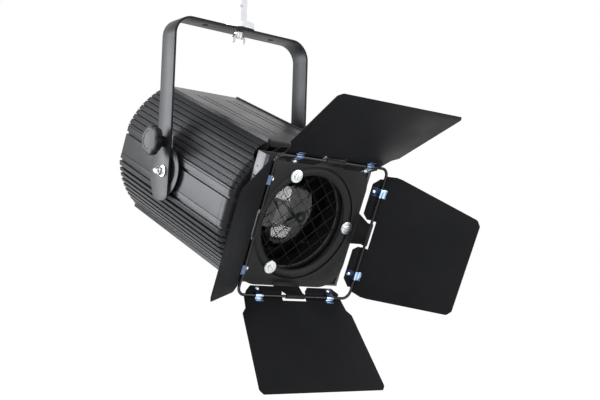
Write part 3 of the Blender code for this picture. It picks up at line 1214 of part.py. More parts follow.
def make_socket(name, places, coat, lamp):
    """Round sockets in one flange on the rear panel, each with an open well."""
    flange_front = PANEL_REAR - SEAT_GAP
    flange_rear = flange_front - SOCKET_FLANGE_THICKNESS
    spread = places[-1][0] - places[0][0]
    middle = ((places[0][0] + places[-1][0]) / 2, places[0][1])
    body = block(name, (spread + SOCKET_FLANGE[0], SOCKET_FLANGE[1], SOCKET_FLANGE_THICKNESS),
                 coat, lamp, (*middle, (flange_front + flange_rear) / 2))
    join(body, rods(name + "_bodies", SOCKET_BODY_RADIUS, flange_front - 0.001,
                    flange_front + SOCKET_BODY_DEPTH, places, None, lamp, 24))
    cut(body, rods(name + "_wells", SOCKET_WELL_RADIUS, flange_rear - CUT_OVER,
                   flange_rear + SOCKET_WELL_DEPTH, places, None, lamp, 20))


def main():
    """Builds the spotlight from the spigot down to the leaves."""
    make_hanging_end()
    pan_axis = empty("pan_axis", None, (0, 0, PIVOT_HEIGHT))
    make_yoke(pan_axis)
    make_tilt_clamp(pan_axis)
    tilt_axis = empty("tilt_axis", pan_axis, (0, 0, 0), (TILT_REST, 0, 0))
    lamp = empty("optical_axis", tilt_axis, (0, 0, 0), (math.pi / 2, 0, 0))
    make_pivot(lamp)
    make_shells(lamp)
    make_cover("top_cover", 1, lamp)
    make_cover("bottom_cover", -1, lamp)
    make_front(lamp)
    make_rear_panel(lamp)
    make_holder(lamp)
    make_guard(lamp)
    make_barn_door(lamp)
    make_lens(lamp)
    make_light_engine(lamp)
    make_electronics(lamp)


main()
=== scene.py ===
"""Dressed model of a hung theatre spotlight with a turning four-leaf barn door.

All sizes are in metres in the row frame: +Z up, the origin at the spigot's top end, the
yoke's crossbar along X and the lamp looking towards -Y. Pieces of the lamp are drawn in
its own frame (x across, y up, z forwards along the beam) and placed by LAMP.
"""

from __future__ import annotations

import json
import logging
import math
from collections.abc import Iterable, Sequence
from dataclasses import dataclass, field
from enum import Enum
from functools import cache

import bmesh
import bpy
from mathutils import Matrix, Vector
from mathutils.geometry import tessellate_polygon

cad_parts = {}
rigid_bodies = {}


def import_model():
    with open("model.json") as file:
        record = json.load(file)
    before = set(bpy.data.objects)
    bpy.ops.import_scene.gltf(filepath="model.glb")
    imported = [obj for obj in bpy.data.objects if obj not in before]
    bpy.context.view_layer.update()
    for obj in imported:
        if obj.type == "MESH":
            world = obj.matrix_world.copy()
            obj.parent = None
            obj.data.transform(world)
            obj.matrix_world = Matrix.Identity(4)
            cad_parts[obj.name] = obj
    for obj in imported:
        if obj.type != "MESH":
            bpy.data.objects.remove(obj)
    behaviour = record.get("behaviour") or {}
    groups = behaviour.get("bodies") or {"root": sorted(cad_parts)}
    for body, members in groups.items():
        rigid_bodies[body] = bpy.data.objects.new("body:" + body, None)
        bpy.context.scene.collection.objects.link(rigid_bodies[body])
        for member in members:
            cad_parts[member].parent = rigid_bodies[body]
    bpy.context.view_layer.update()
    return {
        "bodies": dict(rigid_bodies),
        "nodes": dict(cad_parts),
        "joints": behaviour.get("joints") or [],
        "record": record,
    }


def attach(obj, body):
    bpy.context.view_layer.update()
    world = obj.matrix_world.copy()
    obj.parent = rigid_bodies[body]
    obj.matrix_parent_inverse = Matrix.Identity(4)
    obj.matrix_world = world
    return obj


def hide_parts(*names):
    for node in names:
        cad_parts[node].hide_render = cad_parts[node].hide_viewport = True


logging.basicConfig(level=logging.INFO, format="%(message)s")
log = logging.getLogger("spotlight")

Point = tuple[float, float]
Outline = list[Point]
Colour = tuple[float, float, float]

TILT = math.radians(23.18)
PIVOT_Z = -0.3648
PAN = Matrix.Translation((0, 0, PIVOT_Z))
LAMP = PAN @ Matrix.Rotation(TILT + math.pi / 2, 4, "X")
TO_LEFT = Matrix.Rotation(-math.pi / 2, 4, "Y")
TO_RIGHT = Matrix.Rotation(math.pi / 2, 4, "Y")
UPRIGHT = Matrix.Rotation(math.pi / 2, 4, "X")

# Sizes that several sub-assemblies share: the gap left between pieces that touch, the
# outer face of the yoke's legs, the clamp's height over the pivot, the washers, the plates
# that close the housing's ends, the focus spindle and the barn door's rod.

CLEAR = 0.0003
LEG_FACE = 0.1475
CLAMP_HEIGHT = 0.0505
WASHER_THICKNESS = 0.0016
END_PLATE_RADIUS = 0.1302
END_PLATE_FLAT = 0.1147
PANEL_REAR = -0.1715
SPINDLE = (0.078, -0.062)
ROD_RADIUS = 0.0025
ROD_SPAN = 0.233
ROD_FORWARD = 0.252

# The ribbed shoulders, where the fine flutes show: inside this x and above this y.

SHOULDER_X = 0.1356
SHOULDER_Y = 0.036

# Limits of the shape functions: lengths that count as none, a corner too flat to round,
# the share of a side that one round may take, and the distance at which points join. A
# cutter stands out of what it cuts by PROUD.

NO_LENGTH = 1e-7
FLAT_CORNER = math.radians(172)
SIDE_SHARE = 0.48
WELD = 1e-6
PROUD = 0.01


# Shapes


def fillet(points: Sequence[Point], radius: float, steps: int = 4,
           closed: bool = True) -> Outline:
    """Rounds the corners of an outline or an open path.

    Args:
        points: The corners, in order.
        radius: Largest radius of a corner; short sides get a smaller one.
        steps: Straight pieces in each round.
        closed: Whether the last point joins the first.

    Returns:
        The rounded points.
    """
    result: Outline = []
    count = len(points)
    for i, point in enumerate(points):
        if not closed and i in (0, count - 1):
            result.append(tuple(point))
            continue
        here = Vector(point)
        back = Vector(points[i - 1]) - here
        ahead = Vector(points[(i + 1) % count]) - here
        if min(back.length, ahead.length) < NO_LENGTH:
            continue
        angle = back.angle(ahead)
        if angle > FLAT_CORNER:
            result.append(tuple(point))
            continue
        reach = min(radius / math.tan(angle / 2), SIDE_SHARE * back.length,
                    SIDE_SHARE * ahead.length)
        start = here + back.normalized() * reach
        end = here + ahead.normalized() * reach
        for k in range(steps + 1):
            t = k / steps
            mix = start.lerp(here, t).lerp(here.lerp(end, t), t)
            result.append((mix.x, mix.y))
    return result


def arc(x: float, y: float, radius: float, start: float, end: float, count: int) -> Outline:
    """Points on a circle from a start to an end angle, both included."""
    step = (end - start) / (count - 1)
    return [
        (x + radius * math.cos(start + i * step), y + radius * math.sin(start + i * step))
        for i in range(count)
    ]


def circle(x: float, y: float, radius: float, count: int = 64) -> Outline:
    """Points all round a circle."""
    return arc(x, y, radius, 0, math.tau * (count - 1) / count, count)


def rectangle(x: float, y: float, width: float, height: float,
              radius: float = 0) -> Outline:
    """A rectangle centred on a place, with round corners if it has a radius."""
    corners = [
        (x - width / 2, y - height / 2), (x + width / 2, y - height / 2),
        (x + width / 2, y + height / 2), (x - width / 2, y + height / 2),
    ]
    return fillet(corners, radius, 5) if radius else corners


def polar(radius: float, angle: float) -> Point:
    """A point at a radius and angle."""
    return radius * math.cos(angle), radius * math.sin(angle)


def round_square(half: float, corner: float, steps: int) -> Outline:
    """A square about the axis with an arc at each corner, from the right-hand side on."""
    points: Outline = []
    for quarter in range(4):
        turn = quarter * math.pi / 2
        x, y = polar((half - corner) * math.sqrt(2), turn + math.pi / 4)
        points += arc(x, y, corner, turn, turn + math.pi / 2, steps)
    return points


def new_object(name: str, data: bpy.types.ID) -> bpy.types.Object:
    """Links an object of a mesh, a curve, a light or a camera to the scene."""
    obj = bpy.data.objects.new(name, data)
    bpy.context.scene.collection.objects.link(obj)
    return obj


def from_bmesh(name: str, shape: bmesh.types.BMesh,
               outwards: bool = True) -> bpy.types.Object:
    """Makes an object of a bmesh, with its faces outwards if asked."""
    if outwards:
        bmesh.ops.recalc_face_normals(shape, faces=shape.faces)
    mesh = bpy.data.meshes.new(name)
    shape.to_mesh(mesh)
    shape.free()
    return new_object(name, mesh)


def freeze(obj: bpy.types.Object) -> bpy.types.Object:
    """Turns an object with modifiers, or a curve, into a plain mesh object."""
    graph = bpy.context.evaluated_depsgraph_get()
    mesh = bpy.data.meshes.new_from_object(obj.evaluated_get(graph))
    name = obj.name
    place = obj.matrix_world.copy()
    bpy.data.objects.remove(obj, do_unlink=True)
    frozen = new_object(name, mesh)
    frozen.name = name
    frozen.data.transform(place)
    return frozen


def soften(obj: bpy.types.Object, width: float, segments: int = 2,
           angle: float = 40) -> bpy.types.Object:
    """Rounds the sharp edges of an object."""
    bevel = obj.modifiers.new("edge", "BEVEL")
    bevel.width = width
    bevel.segments = segments
    bevel.limit_method = "ANGLE"
    bevel.angle_limit = math.radians(angle)
    return freeze(obj)


def combine(obj: bpy.types.Object, others: Iterable[bpy.types.Object],
            operation: str = "DIFFERENCE") -> bpy.types.Object:
    """Cuts other objects from one, or joins them on; the others are used up."""
    others = list(others)
    for other in others:
        step = obj.modifiers.new("step", "BOOLEAN")
        step.operation = operation
        step.solver = "EXACT"
        step.object = other
    obj = freeze(obj)
    for other in others:
        bpy.data.objects.remove(other, do_unlink=True)
    return obj


def gather(name: str, objects: Sequence[bpy.types.Object]) -> bpy.types.Object:
    """Puts several plain meshes into one object, each with its own place."""
    shape = bmesh.new()
    for obj in objects:
        obj.data.transform(obj.matrix_world)
        shape.from_mesh(obj.data)
        bpy.data.objects.remove(obj, do_unlink=True)
    return from_bmesh(name, shape, outwards=False)


def mend(obj: bpy.types.Object) -> None:
    """Joins points of a mesh that coincide and turns its faces outwards."""
    shape = bmesh.new()
    shape.from_mesh(obj.data)
    bmesh.ops.remove_doubles(shape, verts=shape.verts, dist=WELD)
    bmesh.ops.recalc_face_normals(shape, faces=shape.faces)
    shape.to_mesh(obj.data)
    shape.free()


def join_rings(shape: bmesh.types.BMesh, rings: Sequence[Sequence[bmesh.types.BMVert]],
               closed: bool = False) -> None:
    """Joins neighbouring rings of points with faces.

    Args:
        shape: The mesh that the points are in.
        rings: Rings with the same number of points; one with a single point is a tip.
        closed: Whether the last ring joins the first.
    """
    steps = max(len(ring) for ring in rings)
    pairs = list(zip(rings, rings[1:]))
    if closed:
        pairs.append((rings[-1], rings[0]))
    for low, high in pairs:
        for k in range(steps):
            after = (k + 1) % steps
            corners = [low[k % len(low)], low[after % len(low)],
                       high[after % len(high)], high[k % len(high)]]
            corners = [v for i, v in enumerate(corners) if v not in corners[:i]]
            if len(corners) > 2:
                shape.faces.new(corners)


def spin(name: str, profile: Sequence[Point], steps: int = 96,
         closed: bool = False) -> bpy.types.Object:
    """Turns a (radius, height) profile round Z.

    Args:
        name: The object's name.
        profile: Points of the section; those at radius 0 close it on the axis.
        steps: Pieces round the circle.
        closed: Whether the section is a ring that closes on itself.

    Returns:
        The turned object.
    """
    shape = bmesh.new()
    rings = []
    for radius, height in profile:
        count = 1 if radius < NO_LENGTH else steps
        rings.append([shape.verts.new((*polar(radius, math.tau * k / steps), height))
                      for k in range(count)])
    join_rings(shape, rings, closed)
    return from_bmesh(name, shape)


def plate(name: str, outlines: Sequence[Outline], low: float, high: float,
          edge: float = 0.0003, rounds: int = 1) -> bpy.types.Object:
    """A flat plate with holes whose edges are rounded.

    Args:
        name: The object's name.
        outlines: The outer outline and the holes in it.
        low: Height of the lower face.
        high: Height of the upper face.
        edge: Radius of the rounded edges.
        rounds: Extra pieces in each rounded edge.

    Returns:
        The plate.
    """
    curve = bpy.data.curves.new(name, "CURVE")
    curve.dimensions = "2D"
    curve.fill_mode = "BOTH"
    curve.extrude = (high - low) / 2 - edge
    curve.bevel_depth = edge
    curve.bevel_resolution = rounds
    curve.offset = -edge
    for outline in outlines:
        spline = curve.splines.new("POLY")
        spline.points.add(len(outline) - 1)
        for point, (x, y) in zip(spline.points, outline):
            point.co = (x, y, 0, 1)
        spline.use_cyclic_u = True
    obj = freeze(new_object(name, curve))
    mend(obj)
    obj.data.transform(Matrix.Translation((0, 0, (low + high) / 2)))
    return obj


def block(name: str, size: Sequence[float], place: Sequence[float],
          edge: float = 0.0005) -> bpy.types.Object:
    """A box with rounded edges."""
    shape = bmesh.new()
    bmesh.ops.create_cube(shape, size=1, matrix=Matrix.Translation(place)
                          @ Matrix.Diagonal((*size, 1)))
    obj = from_bmesh(name, shape)
    return soften(obj, edge) if edge else obj


def rod(name: str, radius: float, low: float, high: float, centre: Point = (0, 0),
        steps: int = 40, edge: float = 0.0003) -> bpy.types.Object:
    """A round bar along Z with chamfered ends."""
    profile = [(0, high), (radius - edge, high), (radius, high - edge),
               (radius, low + edge), (radius - edge, low), (0, low)]
    obj = spin(name, profile, steps)
    obj.data.transform(Matrix.Translation((*centre, 0)))
    return obj


def loft(name: str, outline: Outline, stations: Sequence[Point]) -> bpy.types.Object:
    """A section carried along Z, drawn in towards the axis at some stations.

    Args:
        name: The object's name.
        outline: The closed section.
        stations: (height, scale) pairs from one end to the other.

    Returns:
        The closed solid.
    """
    shape = bmesh.new()
    rows = [[shape.verts.new((x * s, y * s, z)) for x, y in outline] for z, s in stations]
    join_rings(shape, rows)
    caps = tessellate_polygon([[Vector((x, y, 0)) for x, y in outline]])
    for row in (rows[0], rows[-1]):
        for face in caps:
            corners = [row[i] for i in face]
            if len(set(corners)) == 3:
                shape.faces.new(corners)
    return from_bmesh(name, shape)


def bent_sheet(name: str, rows: Sequence[Sequence[Sequence[Sequence[float]]]],
               thickness: float, edge: float = 0.0003) -> bpy.types.Object:
    """Bent sheet metal with rounded edges.

    Args:
        name: The object's name.
        rows: Rows across the sheet; each holds spans of points, and spans with the same
            number in neighbouring rows join.
        thickness: Thickness of the sheet, half on each side of the points.
        edge: Radius of the rounded edges.

    Returns:
        The sheet.
    """
    shape = bmesh.new()
    made = [[[shape.verts.new(p) for p in span] for span in spans] for spans in rows]
    for row, following in zip(made, made[1:]):
        for span, other in zip(row, following):
            for a, b, c, d in zip(span, span[1:], other[1:], other):
                shape.faces.new((a, b, c, d))
    bmesh.ops.remove_doubles(shape, verts=shape.verts, dist=WELD)
    obj = from_bmesh(name, shape)
    wall = obj.modifiers.new("thickness", "SOLIDIFY")
    wall.thickness = thickness
    wall.offset = 0
    wall.use_even_offset = True
    return soften(obj, edge, angle=50)


def wire(name: str, points: Sequence[Sequence[float]], radius: float,
         cyclic: bool = False, sides: int = 5) -> bpy.types.Object:
    """A round wire along points."""
    curve = bpy.data.curves.new(name, "CURVE")
    curve.dimensions = "3D"
    curve.bevel_depth = radius
    curve.bevel_resolution = sides
    curve.use_fill_caps = True
    spline = curve.splines.new("POLY")
    spline.points.add(len(points) - 1)
    for point, place in zip(spline.points, points):
        point.co = (*place, 1)
    spline.use_cyclic_u = cyclic
    return freeze(new_object(name, curve))


# Node trees


class NodeMaker:
    """Adds nodes to a node tree."""

    def __init__(self, tree: bpy.types.NodeTree) -> None:
        """Takes the tree that the nodes go in."""
        self.tree = tree

    def add(self, kind: str, links: dict[str | int, object] | None = None,
            **settings: object) -> bpy.types.Node:
        """Adds a node.

        Args:
            kind: The node's type.
            links: Values or output sockets for its inputs, by name or number.
            **settings: The node's own settings.

        Returns:
            The node.
        """
        node = self.tree.nodes.new(kind)
        for key, value in settings.items():
            setattr(node, key, value)
        for key, value in (links or {}).items():
            if isinstance(value, bpy.types.NodeSocket):
                self.tree.links.new(value, node.inputs[key])
            else:
                node.inputs[key].default_value = value
        return node

    def maths(self, operation: str, *values: object) -> bpy.types.NodeSocket:
        """The result of a Math node on one or two values or sockets."""
        return self.add("ShaderNodeMath", dict(enumerate(values)),
                        operation=operation).outputs[0]

    def ramp(self, factor: bpy.types.NodeSocket, low: tuple[float, Colour],
             high: tuple[float, Colour]) -> bpy.types.NodeSocket:
        """A colour that runs from one to another between two values of a factor."""
        node = self.add("ShaderNodeValToRGB", {0: factor})
        for element, (position, colour) in zip(node.color_ramp.elements, (low, high)):
            element.position = position
            element.color = (*colour, 1)
        return node.outputs[0]

    def seen_directly(self) -> bpy.types.NodeSocket:
        """1 for camera, glossy and transmission rays, 0 for those that light a piece."""
        path = self.add("ShaderNodeLightPath").outputs
        bounced = self.maths("MAXIMUM", path["Is Glossy Ray"], path["Is Transmission Ray"])
        return self.maths("MAXIMUM", path["Is Camera Ray"], bounced)


class SocketKind(Enum):
    """Kinds of input that the node trees take."""

    FLOAT = "NodeSocketFloat"
    COUNT = "NodeSocketInt"
    OBJECT = "NodeSocketObject"
    FINISH = "NodeSocketMaterial"


class ShapeTree(NodeMaker):
    """A Geometry Nodes tree with named inputs that ends in a finished mesh."""

    def __init__(self, name: str, inputs: dict[str, SocketKind]) -> None:
        """Starts an empty tree.

        Args:
            name: The tree's name.
            inputs: Its inputs by name, besides the geometry.
        """
        super().__init__(bpy.data.node_groups.new(name, "GeometryNodeTree"))
        face = self.tree.interface
        face.new_socket("Geometry", in_out="INPUT", socket_type="NodeSocketGeometry")
        for label, kind in inputs.items():
            face.new_socket(label, in_out="INPUT", socket_type=kind.value)
        face.new_socket("Geometry", in_out="OUTPUT", socket_type="NodeSocketGeometry")
        self.given = self.tree.nodes.new("NodeGroupInput").outputs

    def close(self, geometry: bpy.types.NodeSocket) -> None:
        """Ends the tree in realised geometry that carries the Finish input."""
        real = self.add("GeometryNodeRealizeInstances", {"Geometry": geometry})
        dressed = self.add("GeometryNodeSetMaterial", {
            "Geometry": real.outputs[0], "Material": self.given["Finish"]})
        self.add("NodeGroupOutput", {"Geometry": dressed.outputs[0]})

    def run(self, obj: bpy.types.Object, values: dict[str, object]) -> bpy.types.Object:
        """Applies the tree to an object.

        Args:
            obj: The object whose mesh the tree starts from.
            values: A value for each named input.

        Returns:
            A plain mesh object.
        """
        step = obj.modifiers.new(self.tree.name, "NODES")
        step.node_group = self.tree
        for item in self.tree.interface.items_tree:
            if item.in_out == "INPUT" and item.name in values:
                step[item.identifier] = values[item.name]
        return freeze(obj)

    def grow(self, name: str, values: dict[str, object]) -> bpy.types.Object:
        """Runs the tree on nothing, for one that makes all of its own geometry."""
        return self.run(new_object(name, bpy.data.meshes.new("seed")), values)


@cache
def parallel_wires_tree() -> ShapeTree:
    """Straight wires at a pitch, each as long as the circle they fill is wide there."""
    tree = ShapeTree("parallel_wires", {
        "Count": SocketKind.COUNT, "Pitch": SocketKind.FLOAT, "Reach": SocketKind.FLOAT,
        "Wire Radius": SocketKind.FLOAT, "Turn": SocketKind.FLOAT,
        "Height": SocketKind.FLOAT, "Finish": SocketKind.FINISH,
    })
    given = tree.given
    gaps = tree.maths("SUBTRACT", given["Count"], 1.0)
    start = tree.maths("MULTIPLY", tree.maths("MULTIPLY", gaps, given["Pitch"]), -0.5)
    first = tree.add("ShaderNodeCombineXYZ", {"Y": start})
    step = tree.add("ShaderNodeCombineXYZ", {"Y": given["Pitch"]})
    line = tree.add("GeometryNodeMeshLine", {
        "Count": given["Count"], "Start Location": first.outputs[0],
        "Offset": step.outputs[0]})
    place = tree.add("GeometryNodeInputPosition")
    across = tree.add("ShaderNodeSeparateXYZ", {0: place.outputs[0]}).outputs["Y"]
    rest = tree.maths("SUBTRACT", tree.maths("MULTIPLY", given["Reach"], given["Reach"]),
                      tree.maths("MULTIPLY", across, across))
    half = tree.maths("SQRT", rest)
    scale = tree.add("ShaderNodeCombineXYZ", {"X": half, "Y": 1.0, "Z": 1.0})
    unit = tree.add("GeometryNodeCurvePrimitiveLine", {
        "Start": (-1, 0, 0), "End": (1, 0, 0)})
    copies = tree.add("GeometryNodeInstanceOnPoints", {
        "Points": line.outputs[0], "Instance": unit.outputs[0], "Scale": scale.outputs[0]})
    real = tree.add("GeometryNodeRealizeInstances", {"Geometry": copies.outputs[0]})
    section = tree.add("GeometryNodeCurvePrimitiveCircle", {
        "Resolution": 10, "Radius": given["Wire Radius"]})
    wires = tree.add("GeometryNodeCurveToMesh", {
        "Curve": real.outputs[0], "Profile Curve": section.outputs[0], "Fill Caps": True})
    turn = tree.add("ShaderNodeCombineXYZ", {"Z": given["Turn"]})
    lift = tree.add("ShaderNodeCombineXYZ", {"Z": given["Height"]})
    moved = tree.add("GeometryNodeTransform", {
        "Geometry": wires.outputs[0], "Rotation": turn.outputs[0],
        "Translation": lift.outputs[0]})
    tree.close(moved.outputs[0])
    return tree


@cache
def set_out_tree() -> ShapeTree:
    """Copies of one fitting on the points of a mesh, turned by their "turn" attribute."""
    tree = ShapeTree("set_out_fittings", {
        "Fitting": SocketKind.OBJECT, "Finish": SocketKind.FINISH})
    fitting = tree.add("GeometryNodeObjectInfo", {"Object": tree.given["Fitting"]})
    turn = tree.add("GeometryNodeInputNamedAttribute", {"Name": "turn"},
                    data_type="FLOAT_VECTOR")
    copies = tree.add("GeometryNodeInstanceOnPoints", {
        "Points": tree.given["Geometry"], "Instance": fitting.outputs["Geometry"],
        "Rotation": turn.outputs["Attribute"]})
    tree.close(copies.outputs[0])
    return tree


@cache
def flutes_tree() -> ShapeTree:
    """Round ridges in a ring, as on the grip of a knob."""
    tree = ShapeTree("grip_flutes", {
        "Count": SocketKind.COUNT, "Radius": SocketKind.FLOAT,
        "Ridge Radius": SocketKind.FLOAT, "Length": SocketKind.FLOAT,
        "Height": SocketKind.FLOAT, "Finish": SocketKind.FINISH,
    })
    given = tree.given
    ring = tree.add("GeometryNodeMeshCircle", {
        "Vertices": given["Count"], "Radius": given["Radius"]})
    ridge = tree.add("GeometryNodeMeshCylinder", {
        "Vertices": 12, "Radius": given["Ridge Radius"], "Depth": given["Length"]})
    copies = tree.add("GeometryNodeInstanceOnPoints", {
        "Points": ring.outputs[0], "Instance": ridge.outputs["Mesh"]})
    lift = tree.add("ShaderNodeCombineXYZ", {"Z": given["Height"]})
    moved = tree.add("GeometryNodeTransform", {
        "Geometry": copies.outputs[0], "Translation": lift.outputs[0]})
    tree.close(moved.outputs[0])
    return tree


# Finishes


class ShaderGroup(NodeMaker):
    """A shader node group with named inputs and outputs."""

    def __init__(self, name: str, inputs: dict[str, float], outputs: Sequence[str]) -> None:
        """Starts an empty group.

        Args:
            name: The group's name.
            inputs: Its number inputs and their usual values.
            outputs: Its number outputs.
        """
        super().__init__(bpy.data.node_groups.new(name, "ShaderNodeTree"))
        for label, value in inputs.items():
            socket = self.tree.interface.new_socket(label, in_out="INPUT",
                                                    socket_type="NodeSocketFloat")
            socket.default_value = value
        for label in outputs:
            self.tree.interface.new_socket(label, in_out="OUTPUT",
                                           socket_type="NodeSocketFloat")
        self.given = self.tree.nodes.new("NodeGroupInput").outputs
        self.out = self.tree.nodes.new("NodeGroupOutput").inputs

    def give(self, label: str, socket: bpy.types.NodeSocket) -> None:
        """Connects an output of the group."""
        self.tree.links.new(socket, self.out[label])


@cache
def surface_grain_group() -> bpy.types.NodeTree:
    """Fine grain, slow mottling and rubbed streaks of a coated or plated surface."""
    group = ShaderGroup("surface_grain", {"Grain Scale": 900.0, "Mottle Scale": 14.0,
                                          "Streak": 0.0},
                        ("Grain", "Mottle", "Rub"))
    place = group.add("ShaderNodeTexCoord").outputs["Object"]
    grain = group.add("ShaderNodeTexNoise", {
        "Vector": place, "Scale": group.given["Grain Scale"], "Detail": 2.0,
        "Roughness": 0.5})
    mottle = group.add("ShaderNodeTexNoise", {
        "Vector": place, "Scale": group.given["Mottle Scale"], "Detail": 3.0,
        "Roughness": 0.55})
    stretched = group.add("ShaderNodeMapping", {
        "Vector": place, "Scale": (60.0, 6.0, 60.0)})
    rub = group.add("ShaderNodeTexNoise", {
        "Vector": stretched.outputs[0], "Scale": 3.0, "Detail": 4.0, "Roughness": 0.6})
    group.give("Grain", grain.outputs[0])
    group.give("Mottle", mottle.outputs[0])
    group.give("Rub", group.maths("MULTIPLY", rub.outputs[0], group.given["Streak"]))
    return group.tree


@cache
def flute_lines_group() -> bpy.types.NodeTree:
    """Fine extrusion flutes round the lamp's axis, on the shoulders alone."""
    group = ShaderGroup("extrusion_flutes", {"Flutes Round": 880.0}, ("Height",))
    place = group.add("ShaderNodeTexCoord").outputs["Object"]
    back = LAMP.inverted()
    own = group.add("ShaderNodeMapping", {
        "Vector": place, "Location": back.to_translation(),
        "Rotation": back.to_euler("XYZ")})
    parts = group.add("ShaderNodeSeparateXYZ", {0: own.outputs[0]}).outputs
    angle = group.maths("ARCTAN2", parts["Y"], parts["X"])
    wave = group.maths("SINE", group.maths("MULTIPLY", angle, group.given["Flutes Round"]))
    ribs = group.maths("LESS_THAN", group.maths("ABSOLUTE", parts["X"]), SHOULDER_X)
    above = group.maths("GREATER_THAN", parts["Y"], SHOULDER_Y)
    shoulder = group.maths("MULTIPLY", above, ribs)
    group.give("Height", group.maths("MULTIPLY", wave, shoulder))
    return group.tree


@dataclass(frozen=True)
class Surface:
    """A material that is made once, however many pieces wear it."""

    name: str

    def material(self) -> bpy.types.Material:
        """Makes the material, or gives it back where it is made already."""
        made = bpy.data.materials.get(self.name)
        if made:
            return made
        material = bpy.data.materials.new(self.name)
        material.use_nodes = True
        tree = material.node_tree
        self.paint(NodeMaker(tree), tree.nodes["Principled BSDF"].inputs)
        return material

    def paint(self, nodes: NodeMaker, shader: bpy.types.bpy_prop_collection) -> None:
        """Sets the inputs of the material's shader."""
        raise NotImplementedError


@dataclass(frozen=True)
class Finish(Surface):
    """A surface finish: how a material is coloured, roughened and given its grain."""

    colour: Colour
    roughness: float
    metallic: float = 0.0
    specular: float = 0.5
    spread: float = 0.10
    uneven: float = 0.06
    grain_scale: float = 900.0
    grain_depth: float = 0.00002
    mottle_scale: float = 14.0
    streak: float = 0.0
    coat: float = 0.0
    coat_roughness: float = 0.15
    flutes: int = 0
    flute_depth: float = 0.00008
    # mask names a point attribute that mixes in a darker colour, mask_painted_shade:
    # painted shade, not the material's own colour.
    mask: str = ""
    mask_painted_shade: Colour = (0.0, 0.0, 0.0)
    blend: Point = (0.35, 0.68)

    def paint(self, nodes: NodeMaker, shader: bpy.types.bpy_prop_collection) -> None:
        """Varies colour, roughness and relief over the surface."""
        grain = nodes.add("ShaderNodeGroup", node_tree=surface_grain_group())
        grain.inputs["Grain Scale"].default_value = self.grain_scale
        grain.inputs["Mottle Scale"].default_value = self.mottle_scale
        grain.inputs["Streak"].default_value = self.streak
        mottle = grain.outputs["Mottle"]
        worn = nodes.maths("ADD", mottle, grain.outputs["Rub"])
        dark = tuple(c * (1 - self.spread) for c in self.colour)
        light = tuple(min(c * (1 + self.spread), 1) for c in self.colour)
        colour = nodes.ramp(worn, (self.blend[0], dark), (self.blend[1], light))
        # Painted shade: where the mask attribute is 1 the colour turns to the darker shaded
        # colour.
        if self.mask:
            mask = nodes.add("ShaderNodeAttribute", attribute_name=self.mask)
            colour = nodes.add("ShaderNodeMix", {
                0: mask.outputs["Fac"], 6: colour, 7: (*self.mask_painted_shade, 1)},
                data_type="RGBA").outputs[2]
        rough = nodes.add("ShaderNodeMapRange", {
            "Value": mottle, "From Min": 0.3, "From Max": 0.7,
            "To Min": self.roughness - self.uneven, "To Max": self.roughness + self.uneven})
        bump = nodes.add("ShaderNodeBump", {
            "Height": grain.outputs["Grain"], "Distance": self.grain_depth,
            "Strength": 1.0})
        if self.flutes:
            lines = nodes.add("ShaderNodeGroup", node_tree=flute_lines_group())
            lines.inputs["Flutes Round"].default_value = self.flutes
            bump = nodes.add("ShaderNodeBump", {
                "Height": lines.outputs["Height"], "Distance": self.flute_depth,
                "Strength": 1.0, "Normal": bump.outputs[0]})
        nodes.tree.links.new(colour, shader["Base Color"])
        nodes.tree.links.new(rough.outputs[0], shader["Roughness"])
        nodes.tree.links.new(bump.outputs[0], shader["Normal"])
        shader["Metallic"].default_value = self.metallic
        shader["Specular IOR Level"].default_value = self.specular
        shader["Coat Weight"].default_value = self.coat
        shader["Coat Roughness"].default_value = self.coat_roughness


@dataclass(frozen=True)
class ClearGlass(Surface):
    """Optical glass."""

    name: str = "optical_glass"
    tint: Colour = (0.97, 0.985, 0.98)
    roughness: float = 0.0
    dulled: float = 0.05
    ior: float = 1.52
    dust_scale: float = 260.0
    dust_tint: float = 0.93

    def paint(self, nodes: NodeMaker, shader: bpy.types.bpy_prop_collection) -> None:
        """Makes it clear, with a faint unevenness of its polish."""
        shader["Transmission Weight"].default_value = 1.0
        shader["IOR"].default_value = self.ior
        place = nodes.add("ShaderNodeTexCoord").outputs["Object"]
        dust = nodes.add("ShaderNodeTexNoise", {
            "Vector": place, "Scale": self.dust_scale, "Detail": 5.0,
            "Roughness": 0.7}).outputs[0]
        dusty = tuple(c * self.dust_tint for c in self.tint)
        colour = nodes.ramp(dust, (0.45, self.tint), (0.80, dusty))
        rough = nodes.add("ShaderNodeMapRange", {
            "Value": dust, "From Min": 0.4, "From Max": 0.8,
            "To Min": self.roughness, "To Max": self.roughness + self.dulled})
        nodes.tree.links.new(colour, shader["Base Color"])
        nodes.tree.links.new(rough.outputs[0], shader["Roughness"])


SHELL_COAT = Finish("shell_satin_black", (0.0085, 0.0088, 0.0102), 0.30, specular=0.14,
                    spread=0.10, uneven=0.03, grain_scale=1100.0, grain_depth=0.00001,
                    flutes=880)
COVER_COAT = Finish("cover_satin_black", (0.015, 0.015, 0.0165), 0.40, specular=0.13,
                    spread=0.10, uneven=0.03, grain_scale=1100.0, grain_depth=0.000012)
YOKE_COAT = Finish("yoke_satin_black", (0.014, 0.0143, 0.0162), 0.40, specular=0.20,
                   spread=0.12, uneven=0.04, grain_scale=1000.0, grain_depth=0.000014)
LEAF_COAT = Finish("leaf_matte_black", (0.0105, 0.0108, 0.0120), 0.58, specular=0.05,
                   spread=0.12, uneven=0.05, grain_scale=1300.0, grain_depth=0.00001)
DOOR_COAT = Finish("door_satin_black", (0.011, 0.011, 0.0115), 0.46, specular=0.16,
                   spread=0.12, uneven=0.05, grain_scale=1200.0, grain_depth=0.00001)
HOLDER_COAT = Finish("holder_grey_coat", (0.075, 0.075, 0.082), 0.40, specular=0.30,
                     spread=0.08, uneven=0.04, grain_scale=1200.0, grain_depth=0.00001)
ROD_GLOSS = Finish("rod_gloss_black", (0.007, 0.007, 0.0075), 0.20, specular=0.30,
                   spread=0.10, uneven=0.03, grain_depth=0.000004)
THROAT_BLACK = Finish("throat_black", (0.005, 0.005, 0.0055), 0.62, specular=0.10,
                      spread=0.12, uneven=0.05)
